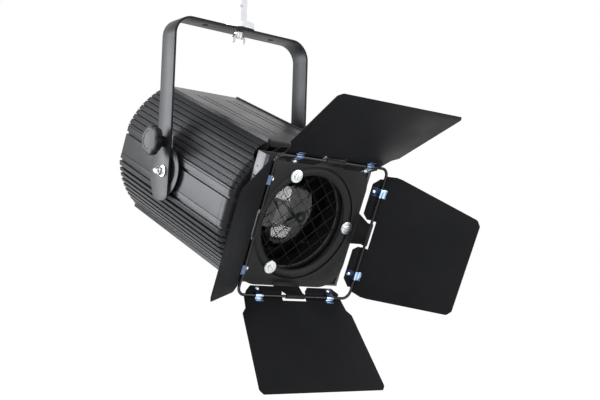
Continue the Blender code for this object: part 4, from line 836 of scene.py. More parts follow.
KNOB_PLASTIC = Finish("knob_black_plastic", (0.013, 0.013, 0.014), 0.38, specular=0.14,
                      spread=0.08, uneven=0.05, grain_scale=2200.0, grain_depth=0.000015)
ZINC = Finish("zinc_plate", (0.62, 0.64, 0.65), 0.27, metallic=1.0, spread=0.05,
              uneven=0.03, grain_scale=900.0, grain_depth=0.000003, mottle_scale=60.0)
SPIGOT_METAL = Finish("turned_spigot", (0.74, 0.75, 0.77), 0.30, metallic=1.0,
                      spread=0.05, uneven=0.05, grain_scale=1500.0,
                      grain_depth=0.000006, mottle_scale=40.0, streak=0.3)
# Blue zinc of the spring clips. The strap attribute mixes a dark blue into their straps:
# painted shade standing in for dark reflections, not the plating's colour.
BLUE_ZINC = Finish("blue_zinc_spring", (0.44, 0.58, 0.76), 0.26, metallic=1.0,
                   spread=0.06, uneven=0.03, mottle_scale=50.0, grain_depth=0.000003,
                   mask="strap", mask_painted_shade=(0.035, 0.055, 0.12))
BARE_ALUMINIUM = Finish("bare_aluminium", (0.72, 0.73, 0.74), 0.34, metallic=1.0,
                        spread=0.05, uneven=0.06, grain_scale=1400.0, streak=0.5)
BOARD_GREEN = Finish("circuit_board", (0.02, 0.11, 0.05), 0.40, spread=0.25,
                     mottle_scale=220.0, grain_depth=0.00003, grain_scale=500.0)
EMITTER = Finish("led_phosphor", (0.86, 0.70, 0.22), 0.45, spread=0.12,
                 mottle_scale=500.0, grain_scale=900.0)
DISPLAY = Finish("display_glass", (0.012, 0.020, 0.026), 0.08, spread=0.20, uneven=0.02,
                 grain_depth=0.0, coat=0.6)
BRASS = Finish("contact_brass", (0.720, 0.525, 0.220), 0.25, metallic=1.0, spread=0.08)
BLUE_PLASTIC = Finish("blue_moulding", (0.05, 0.16, 0.42), 0.35, spread=0.08)
GLASS = ClearGlass()


def smooth(obj: bpy.types.Object, angle: float = 30) -> None:
    """Shades an object smooth where its faces meet at a low angle."""
    obj.data.shade_smooth()
    obj.data.set_sharp_from_angle(angle=math.radians(angle))


def install(obj: bpy.types.Object, place: Matrix, body: str, finish: Finish | ClearGlass,
            nodes: Sequence[str] = (), angle: float = 30) -> None:
    """Puts a finished piece where it belongs on the lamp.

    Args:
        obj: The piece, drawn in its sub-assembly's frame.
        place: That frame in the row frame.
        body: The moving body that it rides on.
        finish: Its finish.
        nodes: The plain solids that it stands for.
        angle: Edges flatter than this are shaded smooth.
    """
    obj.data.transform(place)
    obj.data.materials.clear()
    obj.data.materials.append(finish.material())
    smooth(obj, angle)
    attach(obj, body)
    if nodes:
        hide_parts(*nodes)
    log.info("%s on %s, %d faces", obj.name, body, len(obj.data.polygons))


def set_out(name: str, fitting: bpy.types.Object, places: Sequence[Matrix],
            finish: Finish) -> bpy.types.Object:
    """Copies a fitting to several places as one mesh.

    Args:
        name: The new object's name.
        fitting: The fitting, which is used up.
        places: Where each copy goes.
        finish: The finish that the node tree gives them.

    Returns:
        The mesh of all the copies.
    """
    mesh = bpy.data.meshes.new(name)
    mesh.from_pydata([place.to_translation() for place in places], [], [])
    turn = mesh.attributes.new("turn", "FLOAT_VECTOR", "POINT")
    for item, place in zip(turn.data, places):
        item.vector = place.to_euler()
    made = set_out_tree().run(new_object(name, mesh), {
        "Fitting": fitting, "Finish": finish.material()})
    bpy.data.objects.remove(fitting, do_unlink=True)
    return made


# Sub-assemblies


@dataclass
class HangingEnd:
    """The spigot with its flange, and the wing bolt that draws it down on the yoke."""

    radius: float = 0.014
    length: float = 0.080
    flange_radius: float = 0.0285
    flange_thickness: float = 0.0115
    hole_radius: float = 0.0035
    hole_height: float = 0.030
    hole_turn: float = math.radians(-25)
    bolt_radius: float = 0.005
    bolt_depth: float = 0.028
    hub_radius: float = 0.0085
    hub_height: float = 0.010
    wing_span: float = 0.029
    wing_drop: float = 0.0195
    wing_half: float = 0.0015
    thread_pitch: float = 0.0015
    bar_underside: float = -0.0961

    def build(self) -> None:
        """Makes the spigot and the wing bolt."""
        foot = -self.length
        low = foot - self.flange_thickness
        self.spigot(foot, low)
        self.wing_bolt(low)

    def spigot(self, foot: float, low: float) -> None:
        """The turned pin and flange between two heights, bored for the wing bolt."""
        bore = self.bolt_radius + CLEAR
        outer = fillet([
            (0, 0), (self.radius, 0), (self.radius, foot), (self.flange_radius, foot),
            (self.flange_radius, low), (bore, low), (bore, low + self.bolt_depth + CLEAR),
            (0, low + self.bolt_depth + CLEAR),
        ], 0.0014, 4, closed=False)
        spigot = spin("spigot_turned", outer)
        hole = rod("spigot_pin_hole", self.hole_radius, -0.03, 0.03, steps=32, edge=0)
        hole.data.transform(Matrix.Translation((0, 0, foot + self.hole_height))
                            @ Matrix.Rotation(self.hole_turn, 4, "Z") @ UPRIGHT)
        spigot = combine(spigot, [hole])
        install(spigot, Matrix.Identity(4), "hanging_spigot", SPIGOT_METAL, ["spigot"])

    def wing_bolt(self, low: float) -> None:
        """The wing bolt under the bar, its thread up in the flange that ends at low."""
        hub_top = self.bar_underside - CLEAR
        tip = low + self.bolt_depth - hub_top
        thread: Outline = [(0, tip), (self.bolt_radius * 0.8, tip)]
        pitch = self.thread_pitch
        turns = int((tip - 0.001) / pitch)
        for i in range(turns):
            top = tip - 0.0006 - i * pitch
            thread += [(self.bolt_radius, top - pitch * 0.25),
                       (self.bolt_radius * 0.86, top - pitch * 0.75)]
        body = fillet([
            (self.hub_radius, 0), (self.hub_radius * 0.8, -self.hub_height),
            (0, -self.hub_height)], 0.001, 4, closed=False)
        hub = spin("wing_bolt_forged", thread + [(self.bolt_radius * 0.9, 0)] + body, 64)
        reach = self.wing_span / 2
        inner = self.hub_radius * 0.4
        drop = self.wing_drop
        wing = [
            (inner, -self.hub_height * 0.9), (inner, -0.002),
            (self.hub_radius * 0.9, -0.002), (reach - 0.002, -self.hub_height * 0.7),
            (reach, -self.hub_height), (reach, -drop * 0.85), (reach - 0.002, -drop),
            (reach - 0.006, -drop), (reach - 0.0075, -self.hub_height * 1.15),
        ]
        wings = []
        for side in (1, -1):
            shape = fillet([(side * x, z) for x, z in wing], 0.0025, 5)
            one = plate(f"wing_{side}", [shape], -self.wing_half, self.wing_half, 0.0009, 2)
            one.data.transform(UPRIGHT)
            wings.append(one)
        bolt = gather("wing_bolt_forged", [hub, *wings])
        install(bolt, Matrix.Translation((0, 0, hub_top)), "wing_bolt", ZINC,
                ["wing_bolt"], 40)


@dataclass
class Yoke:
    """The bent flat bar that the lamp tilts in, with its pivot washers."""

    height: float = 0.273
    bar_width: float = 0.040
    thickness: float = 0.004
    bend_radius: float = 0.036
    hole_radius: float = 0.0055
    hole_spread: float = 0.146
    foot_top: float = 0.072
    bulge: float = 0.042
    bulge_top: float = 0.010
    bulge_low: float = 0.005
    foot_front: float = 0.0163
    end_radius: float = 0.050
    end_z: float = -0.041
    bolt_hole: float = 0.0045
    washer_radius: float = 0.010

    def edges(self, z: float) -> Point:
        """Front and rear edge of a leg at a height above the pivot."""
        half = self.bar_width / 2
        if z >= self.foot_top:
            return -half, half
        round_end = math.sqrt(self.end_radius ** 2 - min(z, self.end_z) ** 2)
        if z < self.end_z:
            return -min(self.foot_front, round_end * 0.65), round_end
        down = (self.foot_top - z) / (self.foot_top - self.end_z)
        front = -half + (half - self.foot_front) * down
        if z >= self.bulge_top:
            part = (self.foot_top - z) / (self.foot_top - self.bulge_top)
            return front, half + (self.bulge - half) * part
        if z >= -self.bulge_low:
            return front, self.bulge
        part = (-self.bulge_low - z) / (-self.bulge_low - self.end_z)
        return front, self.bulge + (round_end - self.bulge) * part

    def leg_outline(self) -> tuple[list[float], list[Point]]:
        """Heights down the leg and the edges at each, close together on the foot."""
        heights = [self.foot_top + 0.06, self.foot_top + 0.02, self.foot_top]
        fine = [self.foot_top - 0.003 * (i + 1) for i in range(38)]
        heights += [z for z in fine if z > self.end_z + 0.001]
        heights.append(self.end_z)
        heights += [-self.end_radius * math.sin(math.radians(a))
                    for a in (57, 60, 63, 66, 69, 72, 75, 78, 81, 84, 86.5, 88.5)]
        edges = [self.edges(z) for z in heights]
        eased = []
        for i, height in enumerate(heights):
            near = edges[max(i - 2, 0):i + 3] if height > self.end_z else [edges[i]]
            eased.append((sum(e[0] for e in near) / len(near),
                          sum(e[1] for e in near) / len(near)))
        return heights, eased

    def build(self) -> None:
        """Makes the bar, its holes and the two washers."""
        half = self.bar_width / 2
        middle = self.thickness / 2
        outer = LEG_FACE
        path = [(0.0, self.height - middle), (self.hole_spread / 2, self.height - middle)]
        path += arc(outer - self.bend_radius, self.height - self.bend_radius,
                    self.bend_radius - middle, math.pi / 2, 0, 17)
        half_rows = [[[(x, -half, z), (x, half, z)]] for x, z in path]
        heights, edges = self.leg_outline()
        half_rows += [[[(outer - middle, a, z), (outer - middle, b, z)]]
                      for z, (a, b) in zip(heights, edges)]
        other = [[[(-x, y, z) for x, y, z in row[0]]] for row in reversed(half_rows[1:])]
        yoke = bent_sheet("yoke_bar", other + half_rows, self.thickness, 0.0007)
        cutters = [rod(f"bar_hole_{i}", self.hole_radius, self.height - 0.02,
                       self.height + 0.02, (x, 0), 40, 0)
                   for i, x in enumerate((-self.hole_spread / 2, 0, self.hole_spread / 2))]
        pivot = rod("pivot_hole", self.bolt_hole, -outer - PROUD, outer + PROUD, edge=0)
        pivot.data.transform(TO_RIGHT)
        clamp = rod("clamp_hole", self.bolt_hole, outer - PROUD, outer + PROUD, edge=0)
        clamp.data.transform(Matrix.Translation((0, 0, CLAMP_HEIGHT)) @ TO_LEFT)
        yoke = combine(yoke, [*cutters, pivot, clamp])
        install(yoke, PAN, "yoke", YOKE_COAT, ["yoke"])
        for side, turn in (("left", TO_LEFT), ("right", TO_RIGHT)):
            low = outer + CLEAR
            washer = plate(f"washer_{side}", [circle(0, 0, self.washer_radius),
                                              circle(0, 0, self.bolt_hole, 32)],
                           low, low + WASHER_THICKNESS)
            install(washer, PAN @ turn, "yoke", ZINC, [f"pivot_washer_{side}"])


@dataclass
class TiltClamp:
    """The lobed knob on the left leg with its stud and the claw behind the tilt disc."""

    bore: float = 0.0038
    radius: float = 0.0250
    lobe: float = 0.0011
    lobes: int = 6
    neck_radius: float = 0.010
    neck_length: float = 0.0155
    head: float = 0.015
    face_radius: float = 0.0165

    def build(self) -> None:
        """Makes the knob; the stud and the claw keep their solids."""
        top = CLEAR + self.neck_length
        face = top + self.head
        shape = bmesh.new()
        count = 16 * self.lobes
        profile = fillet([
            (self.bore, CLEAR), (self.neck_radius, CLEAR),
            (self.neck_radius * 0.94, top - 0.002), (self.radius * 0.96, top + 0.001),
            (self.radius, top + 0.006), (self.radius, face - 0.002),
            (self.face_radius + 0.003, face),
            (self.face_radius, face), (self.face_radius - 0.0004, face - 0.0009),
            (0, face - 0.0009),
        ], 0.0026, 5, closed=False)
        rings = []
        for r, z in profile:
            out = (r - self.face_radius) / (self.radius - self.face_radius)
            ring = []
            for k in range(1 if r < NO_LENGTH else count):
                angle = math.tau * k / count
                flute = 1 - abs(math.sin(self.lobes * angle / 2)) ** 6
                wave = self.lobe * (2 * flute - 1) * min(max(out, 0), 1)
                ring.append(shape.verts.new((*polar(r + wave, angle), z)))
            rings.append(ring)
        join_rings(shape, rings)
        bmesh.ops.holes_fill(shape, edges=shape.edges)
        knob = from_bmesh("clamp_knob_moulded", shape)
        place = PAN @ Matrix.Translation((-LEG_FACE, 0, CLAMP_HEIGHT)) @ TO_LEFT
        install(knob, place, "tilt_clamp", KNOB_PLASTIC, ["clamp_knob"],
                38)


@dataclass
class TiltPivot:
    """The tilt discs on the housing's flats with the bolts that they turn on."""

    disc_radius: float = 0.042
    disc_outer: float = 0.1428
    disc_thickness: float = 0.0025
    floor_radius: float = 0.026
    rim_radius: float = 0.031
    seat: float = 0.1363
    bolt_radius: float = 0.004
    head_radius: float = 0.0075
    head_height: float = 0.0075
    dome_radius: float = 0.006
    dome_height: float = 0.0085
    shank_start: float = 0.1270

    def build(self) -> None:
        """Makes both discs and both bolts."""
        bore = self.bolt_radius + 0.0005
        inner = self.disc_outer - self.disc_thickness
        floor = self.seat + self.disc_thickness
        ring = fillet([
            (bore, floor), (self.floor_radius, floor), (self.rim_radius, self.disc_outer),
            (self.disc_radius, self.disc_outer), (self.disc_radius, inner),
            (self.rim_radius, inner), (self.floor_radius, self.seat), (bore, self.seat),
        ], 0.0007, 4)
        for side, turn in (("left", TO_LEFT), ("right", TO_RIGHT)):
            disc = spin(f"tilt_disc_{side}_pressed", ring, 128, closed=True)
            bolt = self.bolt(f"pivot_bolt_{side}_hex")
            for piece, finish, node in ((disc, YOKE_COAT, "tilt_disc"),
                                        (bolt, ZINC, "pivot_bolt")):
                install(piece, LAMP @ turn, "housing", finish, [f"{node}_{side}"])

    def bolt(self, name: str) -> bpy.types.Object:
        """A cap bolt: chamfered hexagon, domed top, and the shank down to the shell."""
        low = LEG_FACE + 2 * CLEAR + WASHER_THICKNESS
        high = low + self.head_height
        head = plate(name + "_head", [circle(0, 0, self.head_radius, 6)], low, high, 0.0004)
        wide = self.head_radius + 0.002
        cone = spin(name + "_cone", [
            (0, low - 0.001), (wide, low - 0.001), (wide, high - 0.0028),
            (self.head_radius * 0.80, high + 0.0001), (0, high + 0.0001)], 64)
        head = combine(head, [cone], "INTERSECT")
        shank = rod(name + "_shank", self.bolt_radius, self.shank_start, low + 0.001)
        cap = [(self.dome_radius * x, high + self.dome_height * y)
               for y, x in arc(0, 0, 1, 0, math.pi / 2, 12)[1:]]
        dome = spin(name + "_dome", [
            (0, high + self.dome_height), *cap, (self.dome_radius, high - 0.001),
            (0, high - 0.001)], 64)
        return gather(name, [head, shank, dome])


@dataclass
class Housing:
    """The ribbed side extrusions and the slotted covers between them."""

    radius: float = 0.1405
    inner_radius: float = 0.1305
    flat_x: float = 0.136
    rear: float = -0.172
    front: float = 0.196
    round_from: float = 0.181
    round_radius: float = 0.016
    rail_x: float = 0.0785
    rail_thickness: float = 0.003
    rail_top: float = 0.1205
    shoulder: tuple[float, float] = (0.0016, 0.003)
    shoulder_rows: tuple[float, float, int] = (15.3, 4.3, 9)
    belly: tuple[float, float] = (0.0048, 0.006)
    belly_rows: tuple[float, float, int] = (19.0, 4.55, 8)
    flat_grooves: tuple[tuple[float, float, float], ...] = (
        (0.0324, 0.0012, 0.0012), (0.0194, 0.0048, 0.0040),
        (-0.0196, 0.0009, 0.0010), (-0.0321, 0.0044, 0.0045))
    notch_radius: float = 0.017
    notch_reach: float = 0.189
    cover_face: float = 0.118
    cover_thickness: float = 0.0013
    nose_start: float = 0.1675
    nose_radius: float = 0.0165
    nose_turn: float = math.radians(62)
    vent: tuple[float, float, float] = (-0.118, 0.123, 0.0035)
    vent_places: tuple[float, ...] = (-0.0400, -0.0240, 0.0240, 0.0400)

    def groove(self, angle: float, size: tuple[float, float]) -> Outline:
        """The corners of one groove between ribs, from its upper edge to its lower."""
        half = size[0] / 2 / self.radius
        low = self.radius - size[1]
        return [polar(self.radius, angle + half), polar(low, angle + half),
                polar(low, angle - half), polar(self.radius, angle - half)]

    def section(self) -> Outline:
        """The right-hand extrusion's section, its ribs' lips rounded."""
        outer_x = self.rail_x + self.rail_thickness
        rail_angle = math.acos(outer_x / self.radius)
        flat_angle = math.acos(self.flat_x / self.radius)
        points = [(self.rail_x, self.rail_top), (outer_x, self.rail_top),
                  polar(self.radius, rail_angle)]
        first, pitch, count = self.shoulder_rows
        for i in reversed(range(count)):
            points += self.groove(math.radians(first + i * pitch), self.shoulder)
        points.append(polar(self.radius, flat_angle))
        for height, width, depth in self.flat_grooves:
            points += [(self.flat_x, height + width / 2),
                       (self.flat_x - depth, height + width / 2),
                       (self.flat_x - depth, height - width / 2),
                       (self.flat_x, height - width / 2)]
        points.append(polar(self.radius, -flat_angle))
        first, pitch, count = self.belly_rows
        for i in range(count):
            points += self.groove(-math.radians(first + i * pitch), self.belly)
        points += [polar(self.radius, -rail_angle), (outer_x, -self.rail_top),
                   (self.rail_x, -self.rail_top)]
        inner = math.acos(self.rail_x / self.inner_radius)
        points += arc(0, 0, self.inner_radius, -inner, inner, 40)
        return fillet(points, 0.0007, 3)

    def stations(self) -> list[Point]:
        """Heights and scales along the beam: straight, then rounded in at the front."""
        rows = [(self.rear, 0.9965), (self.rear + 0.0004, 0.999), (self.rear + 0.001, 1.0),
                (0.0, 1.0), (self.round_from - 0.0065, 1.0)]
        seam = self.round_from - 0.006
        rows += [(seam - 0.0002, 1.0), (seam, 0.9985), (seam + 0.0006, 0.9985),
                 (seam + 0.0008, 1.0), (self.round_from, 1.0)]
        depth = self.front - self.round_from
        for k in range(1, 9):
            forward = depth * k / 8
            rise = math.sqrt(max(self.round_radius ** 2 - forward ** 2, 0))
            drop = self.round_radius - rise
            rows.append((self.round_from + forward, 1 - drop / self.radius))
        return rows

    def build(self) -> None:
        """Makes both shells and both covers."""
        section = self.section()
        for side, name in ((1, "right"), (-1, "left")):
            shell = loft(f"shell_{name}_ribbed", [(side * x, y) for x, y in section],
                         self.stations())
            centre = self.rail_x + self.rail_thickness + self.notch_radius * 0.55
            notch = rod("notch", self.notch_radius, self.radius / 2, self.radius + PROUD,
                        steps=64, edge=0)
            notch.data.transform(Matrix.Translation((side * centre, 0, self.notch_reach))
                                 @ Matrix.Rotation(-math.pi / 2, 4, "X"))
            shell = combine(shell, [notch])
            install(shell, LAMP, "housing", SHELL_COAT, [f"side_shell_{name}"],
                    28)
        self.cover("top_cover_folded", 1, "top_cover")
        self.cover("bottom_cover_folded", -1, "bottom_cover")

    def cover(self, name: str, side: int, node: str) -> None:
        """A slotted cover whose front end is folded in."""
        middle = self.cover_face - self.cover_thickness / 2
        bend = self.nose_radius - self.cover_thickness / 2
        path = [(middle, self.rear), (middle, 0.0)]
        nose = arc(self.nose_start, middle - bend, bend, math.pi / 2,
                   math.pi / 2 - self.nose_turn, 14)
        path += [(height, forward) for forward, height in nose]
        half = self.rail_x - CLEAR
        rows = [[[(-half, side * y, z), (half, side * y, z)]] for y, z in path]
        cover = bent_sheet(name, rows, self.cover_thickness, 0.0006)
        low, high, width = self.vent
        slots = []
        for x in self.vent_places:
            slot = plate("slot", [rectangle(x, (low + high) / 2, width, high - low,
                                            width * 0.49)], -PROUD, PROUD, 0.0)
            slot.data.transform(Matrix.Translation((0, side * middle, 0)) @ UPRIGHT
                                @ Matrix.Diagonal((1, -1, 1, 1)))
            mend(slot)
            slots.append(slot)
        cover = combine(cover, slots)
        install(cover, LAMP, "housing", COVER_COAT, [node])


@dataclass
class FrontEnd:
    """The front bezel, the accessory holder with its catch, and the wire guard."""

    bezel_rear: float = 0.187
    bezel_thickness: float = 0.004
    aperture: float = 0.0835
    collar_wall: float = 0.004
    collar_rear: float = 0.165
    holder_half: float = 0.1115
    holder_sheet: float = 0.0015
    holder_height: float = 0.1055
    holder_rear: float = 0.1975
    holder_front: float = 0.2215
    holder_lip: float = 0.006
    holder_floor: float = 0.0028
    boss_place: Point = (0.086, 0.058)
    boss_radius: float = 0.005
    screw_hole: float = 0.0021
    side_hole: tuple[float, float, float] = (0.082, 0.206, 0.0014)
    side_notch: Point = (0.066, 0.2045)
    notch_size: tuple[float, float, float] = (0.02, 0.0022, 0.007)
    pin_up: float = 0.0050
    pin_forward: float = 0.0045
    pin_hole: float = 0.0018
    ear_half: float = 0.0015
    ear_reach: float = 0.0030
    catch_half: float = 0.019
    catch_barrel: float = 0.0032
    catch_sheet: float = 0.0018
    guard_ring: tuple[float, float, float] = (0.0915, 0.006, 0.0027)
    guard_wire: float = 0.0006
    guard_sink: float = 0.9
    guard_pitch: float = 0.022
    guard_turn: float = math.radians(44)

    def bosses(self) -> list[Point]:
        """Centres of the four bosses between bezel and holder."""
        x, y = self.boss_place
        return [(a * x, b * y) for a in (-1, 1) for b in (-1, 1)]

    def pin(self) -> Point:
        """Height of the catch's pin and its place along the beam."""
        return (self.holder_height + self.pin_up,
                self.holder_rear + self.holder_sheet + self.pin_forward)

    def build(self) -> None:
        """Makes the bezel, the holder, the catch and the guard."""
        self.bezel()
        self.holder()
        self.catch()
        self.guard()

    def bezel(self) -> None:
        """The plate inside the shells' front end, with its collar and bosses."""
        collar = self.aperture + self.collar_wall
        front = self.bezel_rear + self.bezel_thickness
        collar_front = self.holder_rear - CLEAR
        ring = spin("front_bezel_cast", fillet([
            (self.aperture, collar_front), (collar, collar_front), (collar, front),
            (END_PLATE_RADIUS, front), (END_PLATE_RADIUS, self.bezel_rear),
            (collar, self.bezel_rear), (collar, self.collar_rear),
            (self.aperture, self.collar_rear)], 0.0006, 3), 96, closed=True)
        trim = 2 * (END_PLATE_RADIUS - END_PLATE_FLAT) + 0.004
        away = END_PLATE_FLAT + trim / 2
        ring = combine(ring, [block("flat", (0.3, trim, 0.06), (0, side * away, 0.18), 0)
                              for side in (-1, 1)])
        posts = [rod(f"boss_{i}", self.boss_radius, self.bezel_rear + 0.001,
                     collar_front, place) for i, place in enumerate(self.bosses())]
        bezel = gather("front_bezel_cast", [ring, *posts])
        install(bezel, LAMP, "housing", THROAT_BLACK, ["front_bezel"])

    def holder(self) -> None:
        """The channel that the barn door slides into, with its floor and its screws."""
        half = self.holder_half
        middle = self.holder_sheet / 2
        inner = half - middle
        rear = self.holder_rear + middle
        front = self.holder_front - middle
        section = [(half - self.holder_lip, front), (inner, front), (inner, rear)]
        section = fillet(section, 0.002, 4, closed=False)
        section = section + [(-x, z) for x, z in reversed(section)]
        height = self.holder_height
        rows = [[[(x, y, z) for x, z in section]] for y in (-height, height)]
        channel = bent_sheet("accessory_holder_folded", rows, self.holder_sheet, 0.0004)
        low, high = self.holder_rear - PROUD, self.holder_rear + PROUD
        cutters = [rod("holder_aperture", self.aperture, low, high, steps=96, edge=0)]
        cutters += [rod(f"screw_hole_{i}", self.screw_hole, low, high, place, 24, 0)
                    for i, place in enumerate(self.bosses())]
        up, forward, radius = self.side_hole
        for side, turn in ((-1, TO_LEFT), (1, TO_RIGHT)):
            mark = rod("side_hole", radius, half - PROUD, half + PROUD, steps=24, edge=0)
            mark.data.transform(Matrix.Translation((0, up, forward)) @ turn)
            notch = block("side_notch", self.notch_size,
                          (side * half, *self.side_notch), 0)
            cutters += [mark, notch]
        channel = combine(channel, cutters)
        depth = self.holder_front - self.holder_rear
        floor = block("holder_floor", (
            2 * half - self.holder_sheet, self.holder_floor, depth),
            (0, -height + 0.0001, (self.holder_front + self.holder_rear) / 2), 0.0004)
        holder = gather("accessory_holder_folded", [channel, floor, *self.ears()])
        install(holder, LAMP, "housing", HOLDER_COAT, ["accessory_holder"])
        screws = set_out("holder_screws", pan_screw(0.006),
                         [Matrix.Translation((x, y, self.holder_rear + self.holder_sheet))
                          for x, y in self.bosses()], ZINC)
        install(screws, LAMP, "housing", ZINC, ())

    def ears(self) -> list[bpy.types.Object]:
        """The two ears on the holder's top that carry the catch's pin."""
        height = self.holder_height
        pin_y, pin_z = self.pin()
        ear_top, ear_front = pin_y + self.ear_reach, pin_z + self.ear_reach
        outline = fillet([
            (self.holder_rear, height - 0.004), (ear_front, height - 0.004),
            (ear_front, ear_top), (self.holder_rear, ear_top)], 0.0025, 5)
        ears = []
        for side in (-1, 1):
            ear = plate("ear", [outline, circle(pin_z, pin_y, self.pin_hole, 24)],
                        -self.ear_half, self.ear_half)
            ear.data.transform(Matrix.Translation((side * (self.catch_half + 0.0018), 0, 0))
                               @ Matrix.Rotation(-math.pi / 2, 4, "Y"))
            ears.append(ear)
        return ears

    def catch(self) -> None:
        """The sprung catch over the carrier's top edge."""
        pin_y, pin_z = self.pin()
        tip = self.holder_front - CLEAR - pin_z
        low = -self.catch_barrel - self.catch_sheet
        section = arc(0, 0, self.catch_barrel, math.radians(-40), math.radians(250), 30)
        section += fillet([
            (section[-1][0], low), (tip, low), (tip, -self.catch_barrel),
            (self.catch_barrel, -self.catch_barrel)], 0.0007, 3, closed=False)
        catch = plate("catch_stamped", [section, circle(0, 0, self.pin_hole, 24)],
                      -self.catch_half, self.catch_half)
        place = LAMP @ Matrix.Translation((0, pin_y, pin_z))
        catch.data.transform(Matrix.Rotation(-math.pi / 2, 4, "Y"))
        install(catch, place, "catch", ZINC, ["accessory_catch"])

    def guard(self) -> None:
        """The round guard of two crossing layers of wires in a flat ring."""
        radius, width, thick = self.guard_ring
        low = self.holder_rear + self.holder_sheet + CLEAR
        ring = plate("wire_guard_welded", [circle(0, 0, radius, 96),
                                           circle(0, 0, radius - width, 96)],
                     low, low + thick, 0.0005, 2)
        count = 2 * int((radius - width) / self.guard_pitch) + 1
        middle = low + thick / 2
        layers = [parallel_wires_tree().grow(f"guard_layer_{layer}", {
            "Count": count, "Pitch": self.guard_pitch, "Reach": radius - width / 2,
            "Wire Radius": self.guard_wire, "Turn": self.guard_turn + turn,
            "Height": middle + layer * self.guard_wire * self.guard_sink,
            "Finish": THROAT_BLACK.material()})
            for layer, turn in ((-1, 0.0), (1, math.pi / 2))]
        guard = gather("wire_guard_welded", [ring, *layers])
        install(guard, LAMP, "housing", DOOR_COAT, ["wire_guard"], 50)


def pan_screw(length: float, head: float = 0.0036, height: float = 0.0022,
              shank: float = 0.0017, slot: float = 0.0009) -> bpy.types.Object:
    """A pan head screw with a cross slot, its head's seat at Z 0 and its shank below.

    Args:
        length: Length of the shank.
        head: Radius of the head.
        height: Height of the head.
        shank: Radius of the shank.
        slot: Width of the cross slot.

    Returns:
        The screw.
    """
    dome = arc(0, 0, 1, math.pi / 2, 0, 8)
    profile = [(0, height)]
    profile += [(head * x, height * y ** 0.8) for x, y in dome[1:]]
    profile += [(head, 0), (shank, 0), (shank, -length), (0, -length)]
    screw = spin("screw", profile, 36)
    cross = [block("cross", size, (0, 0, height), 0)
             for size in ((head * 1.2, slot, height), (slot, head * 1.2, height))]
    return combine(screw, cross)


